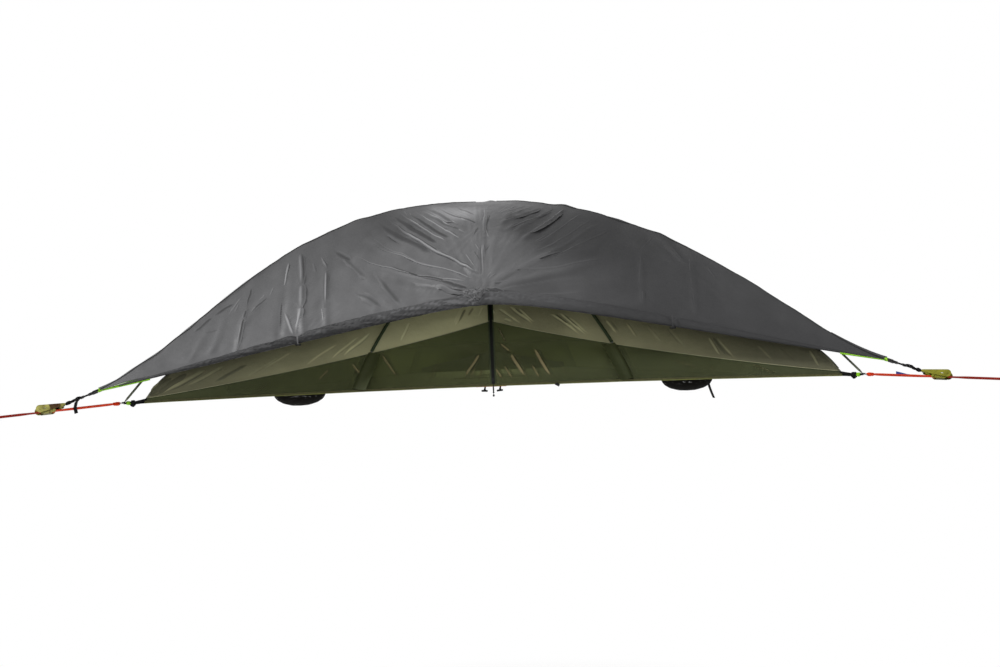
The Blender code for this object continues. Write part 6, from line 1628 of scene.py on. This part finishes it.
def makeGuy(name, corner, leant):
    # guy from the fly's tip to the hook on the ratchet's grip bar, with its buckle, ladder lock and tail
    sign, slack = twistSigns[name], ridgeSlack[name]
    gripLocal = Vector((chain["axle"] - guy["handle"], 0, chain["axleHeight"] + guy["rise"]))
    gripLocal.y = gripLocal.z * math.tan(math.radians(sign * chain["lean"]))
    tip = Vector((tipDistance, 0, fly["tipHeight"] + fly["tipRoll"]))
    way = leant @ gripLocal - tip
    guyFrame = corner @ basis(tip, way, Vector((0, 1, 0)))
    run = [(x, 0, 0) for x in np.linspace(guy["start"], way.length - guy["hookReach"] - touchGap, 30)]
    turned = guyFrame @ turnAbout("X", sign * chain["guyTurn"])
    side = acrossOf(turned)
    web = makeBand(f"flyGuy_{name}", carried(guyFrame, run), guy["width"], guy["thickness"], side)
    dressed(web, "blackWebbing", f"fly_guy_{name}")
    start = tip + way.normalized() * guy["tail"]
    near, hang = guy["tailSide"], guy["tailLength"]
    if name == "right":  # blown back along the guy
        path = carried((corner.inverted() @ turned), resampled(guy["blown"], 40))
    else:
        fall = [(0, 0), (near * 0.6, 0.001), (near * 0.9, -near * 0.25), (near, -near), (near, -hang * 0.6),
                (near * 0.96, -hang)]
        path = resampled([(start.x + more, sign * out + start.y, start.z + height)
                          for more, (out, height) in zip(guy["tailLean"], fall)], 40)
    flat = Vector((way.x, 0, way.z)).normalized()
    across = Vector((0.2, -1.0, 0)) if name == "left" else Vector((0, 1, 0))
    ways = [corner.to_3x3() @ (flat * share + across * (1 - share) * 0.6)
            for share in 0.35 + 0.25 * eased(np.linspace(0, 1.6, 40))]
    path = carried(corner, path)
    tail = makeBand(f"guyTail_{name}", path, guy["width"] * 0.96, guy["thickness"] * 0.95, ways)
    dressed(tail, "blackWebbing")
    makeLadderLock(name, turned)
    makeBuckle(name, turned)
    end = carried(turned, resampled(guy["end"], 24))
    dressed(makeBand(f"guyEnd_{name}", end, guy["endWidth"], guy["endThickness"], side), "blackWebbing")
    hook = way.length - guy["hookReach"]
    for part, at, half, paint, seed in (
            ("limeTab", 0.0005, (0.0150, 0.0125, 0.0095), "lime", 5),
            ("hookEye", hook + 0.012, (0.018, 0.0130, 0.0090), "blackWebbing", 7),
            ("hookNeck", hook - 0.012, (0.015, 0.0105, 0.0060), "blackWebbing", 7)):
        dressed(makeLump(f"{part}_{name}", turned @ shift(at), half, 0.2, seed), paint)
    cone = [(tipDistance * out, 0, float(flyHeight(1.0, out, slack)) + 0.007 * t)
            for t, out in zip(np.linspace(0, 1, 30), np.linspace(0.88, 1.001, 30))]
    sizes = np.linspace(0.3, 1, 30) ** 0.8
    cover = makeTube(f"tipCone_{name}", carried(corner, cone), guy["coneRadius"], 12, False, sizes)
    dressed(cover, "fly")


def makeCorner(name):
    corner = turnAbout("Z", corners[name])
    drop = shift(chain["ring"]) @ turnAbout("Y", chain["drop"])
    lean = turnAbout("X", twistSigns[name] * chain["lean"])
    line = corner @ drop
    makeLoop(name, corner)
    makeStay(name, corner)
    makeShortStrap(name, line)
    if name == "right":
        makeTag(line, twistSigns[name])
    makeTreeStrap(name, line @ lean @ shift(chain["axle"]))
    makeWound(name, line @ lean @ shift(chain["axle"], 0, chain["axleHeight"]), acrossOf(line @ lean))
    makeGuy(name, corner, drop @ lean)


buckle = {"start": 0.0095, "split": 0.041, "stop": 0.0645, "width": 0.030, "thick": 0.0100, "edge": 0.0022,
          "overlap": 0.004, "plugWidth": 0.76, "plugThick": 0.74, "inset": 0.0014, "recess": 0.0024}


def makeBuckle(name, guyFrame):
    # side-release buckle: the socket half with its two side openings, and the narrower plug half
    wide, thick = buckle["width"], buckle["thick"]
    for part, low, high, size in (("Socket", buckle["start"], buckle["split"], (wide, thick)),
                                  ("Plug", buckle["split"] - buckle["overlap"], buckle["stop"],
                                   (wide * buckle["plugWidth"], thick * buckle["plugThick"]))):
        length = high - low
        cuts = [(length * share, 0) for share in (-0.3, 0.3)]
        half = cutBlock(f"buckle{part}_{name}", (length, *size), cuts)
        way = 1 if part == "Socket" else 2  # its openings are in the sides, the plug's are above and below
        for face in half.data.polygons:
            face.select = abs(face.center.x) < length * 0.2 and abs(face.normal[way]) > 0.9
        bpy.ops.object.mode_set(mode="EDIT")
        bpy.ops.mesh.select_mode(type="FACE")
        bpy.ops.mesh.inset(thickness=buckle["inset"], use_individual=True)
        bpy.ops.mesh.extrude_region_shrink_fatten(TRANSFORM_OT_shrink_fatten={"value": -buckle["recess"]})
        bpy.ops.object.mode_set(mode="OBJECT")
        shaped(half, "BEVEL", width=buckle["edge"] * 0.4, segments=2, limit_method="ANGLE")
        half.data.transform(guyFrame @ shift((low + high) / 2))
        nodes = [f"fly_buckle_{name}"] if part == "Socket" else []
        dressed(settled(half, 40), "plastic", *nodes)


lock = {"width": 0.026, "thick": 0.005, "edge": 0.0007, "bars": (-0.0052, -0.0022, 0.0022, 0.0052),
        "sides": (-0.0102, 0.0102)}


def makeLadderLock(name, guyFrame):
    # a frame with two slots for the webbing
    cuts = [(place, 0) for place in lock["bars"]] + [(0, place) for place in lock["sides"]]
    frameLock = cutBlock(f"ladderLock_{name}", (guy["lockLength"], lock["width"], lock["thick"]), cuts)
    work = bmesh.new()
    work.from_mesh(frameLock.data)
    slotFaces = {}
    for face in work.faces:
        middle = face.calc_center_median()
        inSlot = lock["bars"][2] < abs(middle.x) < lock["bars"][3] and abs(middle.y) < lock["sides"][1]
        if inSlot and abs(face.normal.z) > 0.9:
            slotFaces.setdefault(round(middle.x, 4), []).append(face)
    for faces in slotFaces.values():
        bmesh.ops.bridge_loops(work, edges=[edge for face in faces for edge in face.edges])
        bmesh.ops.delete(work, geom=faces, context="FACES_ONLY")
    bmesh.ops.recalc_face_normals(work, faces=work.faces)
    work.to_mesh(frameLock.data)
    work.free()
    shaped(frameLock, "BEVEL", width=lock["edge"], segments=2)
    frameLock.data.transform(guyFrame @ shift(guy["lock"] + guy["lockLength"] / 2))
    dressed(settled(frameLock, 40), "plastic")


# toggles under the edge: x, way out, length, lean, height, radius, the CAD pieces they stand for
toggles = {"left": (-0.052, webbing["width"] / 2, 0.036, 3, -0.034, 0.0056, ["door_toggle_left"]),
           "right": (0.037, webbing["width"] / 2, 0.036, -5, -0.034, 0.0056, ["door_toggle_right"]),
           "edge": (0.372, -0.010, 0.027, 28, -0.011, 0.0075, [])}


def makeSmallBits():
    # a red thread by the door toggles, the toggles and their webbing tabs
    path = [(x, edgeLine(x, floorCut) - 0.0040, -0.0092) for x in np.linspace(-0.10, 0.075, 24)]
    dressed(makeBand("redTape", path, 0.0020, 0.0010, (0, 0.1, 1), 2), "redThread")
    for name, (x, out, length, lean, low, radius, nodes) in toggles.items():
        y = out + edgeLine(x, floorCut)
        barrel = makeBarrel(f"toggleBar_{name}", 24, radius, length, (x, y, low), (0, 90 + lean, 0), 0.0014)
        dressed(barrel, "plastic", *nodes)
        rows = []
        for t in np.linspace(0, 1, 14):
            half, height = 0.0075 - 0.0025 * float(eased(t * 2)), low + 0.002 - (low + 0.004) * t
            rows.append([(x + side * half + 0.006 * t, y, height) for side in np.linspace(-1, 1, 5)])
        dressed(makeSheet(f"toggleTab_{name}", rows, 0.0024, 0, smooth=35), "blackWebbing")


# lamps, white surroundings and the floor far below the tent

lamps = {"worldLevel": 0.36, "key": {"level": 2.6, "from": (-0.70, -0.28, 0.66), "soft": 10},
         "front": {"level": 1.1, "from": (0.05, -0.95, 0.30), "soft": 60}, "floorHeight": -3.0,
         "inside": {"level": 85, "place": (0, 0.50, 0.38), "radius": 0.12}}
white = (1, 1, 1, 1)


def makeLamp(name, kind):
    lamp = bpy.data.objects.new(name, bpy.data.lights.new(name, kind))
    scene.collection.objects.link(lamp)
    lamp.data.energy = lamps[name]["level"]
    return lamp


def makeLight():
    # grey light from all round, seen as white by the camera and in reflections
    scene.world = bpy.data.worlds.new("surroundings")
    scene.world.use_nodes = True
    sky = Nodes(scene.world.node_tree)
    sky.tree.nodes.clear()
    seen, mirrored, through = sky.rays("Camera", "Glossy", "Transmission")
    grey, bright = [sky.node("ShaderNodeBackground", {}, {"Color": white, "Strength": level})
                    for level in (lamps["worldLevel"], 1.0)]
    shown = seen.most(mirrored).most(through)
    mixed = sky.node("ShaderNodeMixShader", {}, {0: shown, 1: grey, 2: bright})
    sky.feed(sky.tree.nodes.new("ShaderNodeOutputWorld").inputs["Surface"], mixed)
    for name in ("key", "front"):
        sun = makeLamp(name, "SUN")
        sun.data.angle = math.radians(lamps[name]["soft"])
        sun.rotation_euler = Vector(lamps[name]["from"]).to_track_quat("Z", "Y").to_euler()

    # daylight that comes through the cloth, as a small lamp inside the tent
    glow = makeLamp("inside", "POINT")
    glow.data.shadow_soft_size = lamps["inside"]["radius"]
    glow.location = lamps["inside"]["place"]
    glow.visible_glossy = False

    deselect()
    bpy.ops.mesh.primitive_circle_add(vertices=96, radius=40, fill_type="NGON",
                                      location=(0, 0, lamps["floorHeight"]))
    ground = bpy.context.object
    ground.name = "studioFloor"
    settled(ground, 30)
    paint = Paint("studioFloor", 0.9, 0.1)
    x, y, _ = paint.split(paint.spot())
    far = (x * x + y * y).root().kept(3.2, 4.4)
    shade = paint.cloud(paint.spot(), 3.0)
    paint.set("Base Color", paint.blend(shade, (0.90, 0.90, 0.90, 1), (0.93, 0.93, 0.93, 1)))
    glow = paint.node("ShaderNodeEmission", {}, {"Color": white, "Strength": 1.0})
    seen, mirrored = paint.rays("Camera", "Glossy")
    plain = Field(paint, paint.shader.outputs[0])
    mixed = paint.node("ShaderNodeMixShader", {}, {0: far * seen.most(mirrored), 1: plain, 2: glow})
    paint.feed(paint.tree.nodes["Material Output"].inputs["Surface"], mixed)
    ground.data.materials.append(paint.material)
    scene.view_settings.view_transform = "Standard"


cord, knots, cordTop = makeDoor()
makeStrapTail()
for name in corners:
    makeCorner(name)
print("door, cords and corners made")
makeInnerTent()
makeSleeves()
makeRidgeTapes()
print("inner tent made")
makeFloor()
makePouches()
makePocket()
print("floor made")
makeFly()
makeHemRoll()
makeTrims()
makeHemToggles()
makeSmallBits()
print("rain fly made")
makeLight()

for piece in (cord, *knots):
    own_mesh(piece)

# CAD pieces that keep their own shape get their finish
finishes = {"corner_ring": "steel", "ratchet_frame": "yellowZinc", "ratchet_handle": "yellowZinc",
            "ratchet_spool": "yellowZinc", "drive_pawl": "steel", "lock_pawl": "steel",
            "fly_hook": "plastic", "pole_front": "alloy", "zip_slider": "plastic"}
leftLine = turnAbout("Z", corners["left"]) @ shift(chain["ring"]) @ turnAbout("Y", chain["drop"])
spoolPlace = leftLine @ turnAbout("X", chain["lean"]) @ Vector((chain["axle"], 0, chain["axleHeight"]))
# the left handle's grip gets a dark brown band as painted shade
grip = (tuple(spoolPlace), tone(62, 38, 30))
paints["handleGripShade"] = metalPaint("handleGripShadePlate", *zinc, 0.42, zincStain, grip)
for name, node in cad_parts.items():
    for start, paint in finishes.items():
        if name.startswith(start):
            paint = "oliveZinc" if paint == "yellowZinc" and name.endswith("right") else paint
            paint = "handleGripShade" if name == "ratchet_handle_left" else paint
            for slot in node.material_slots:
                slot.material = paints[paint].material
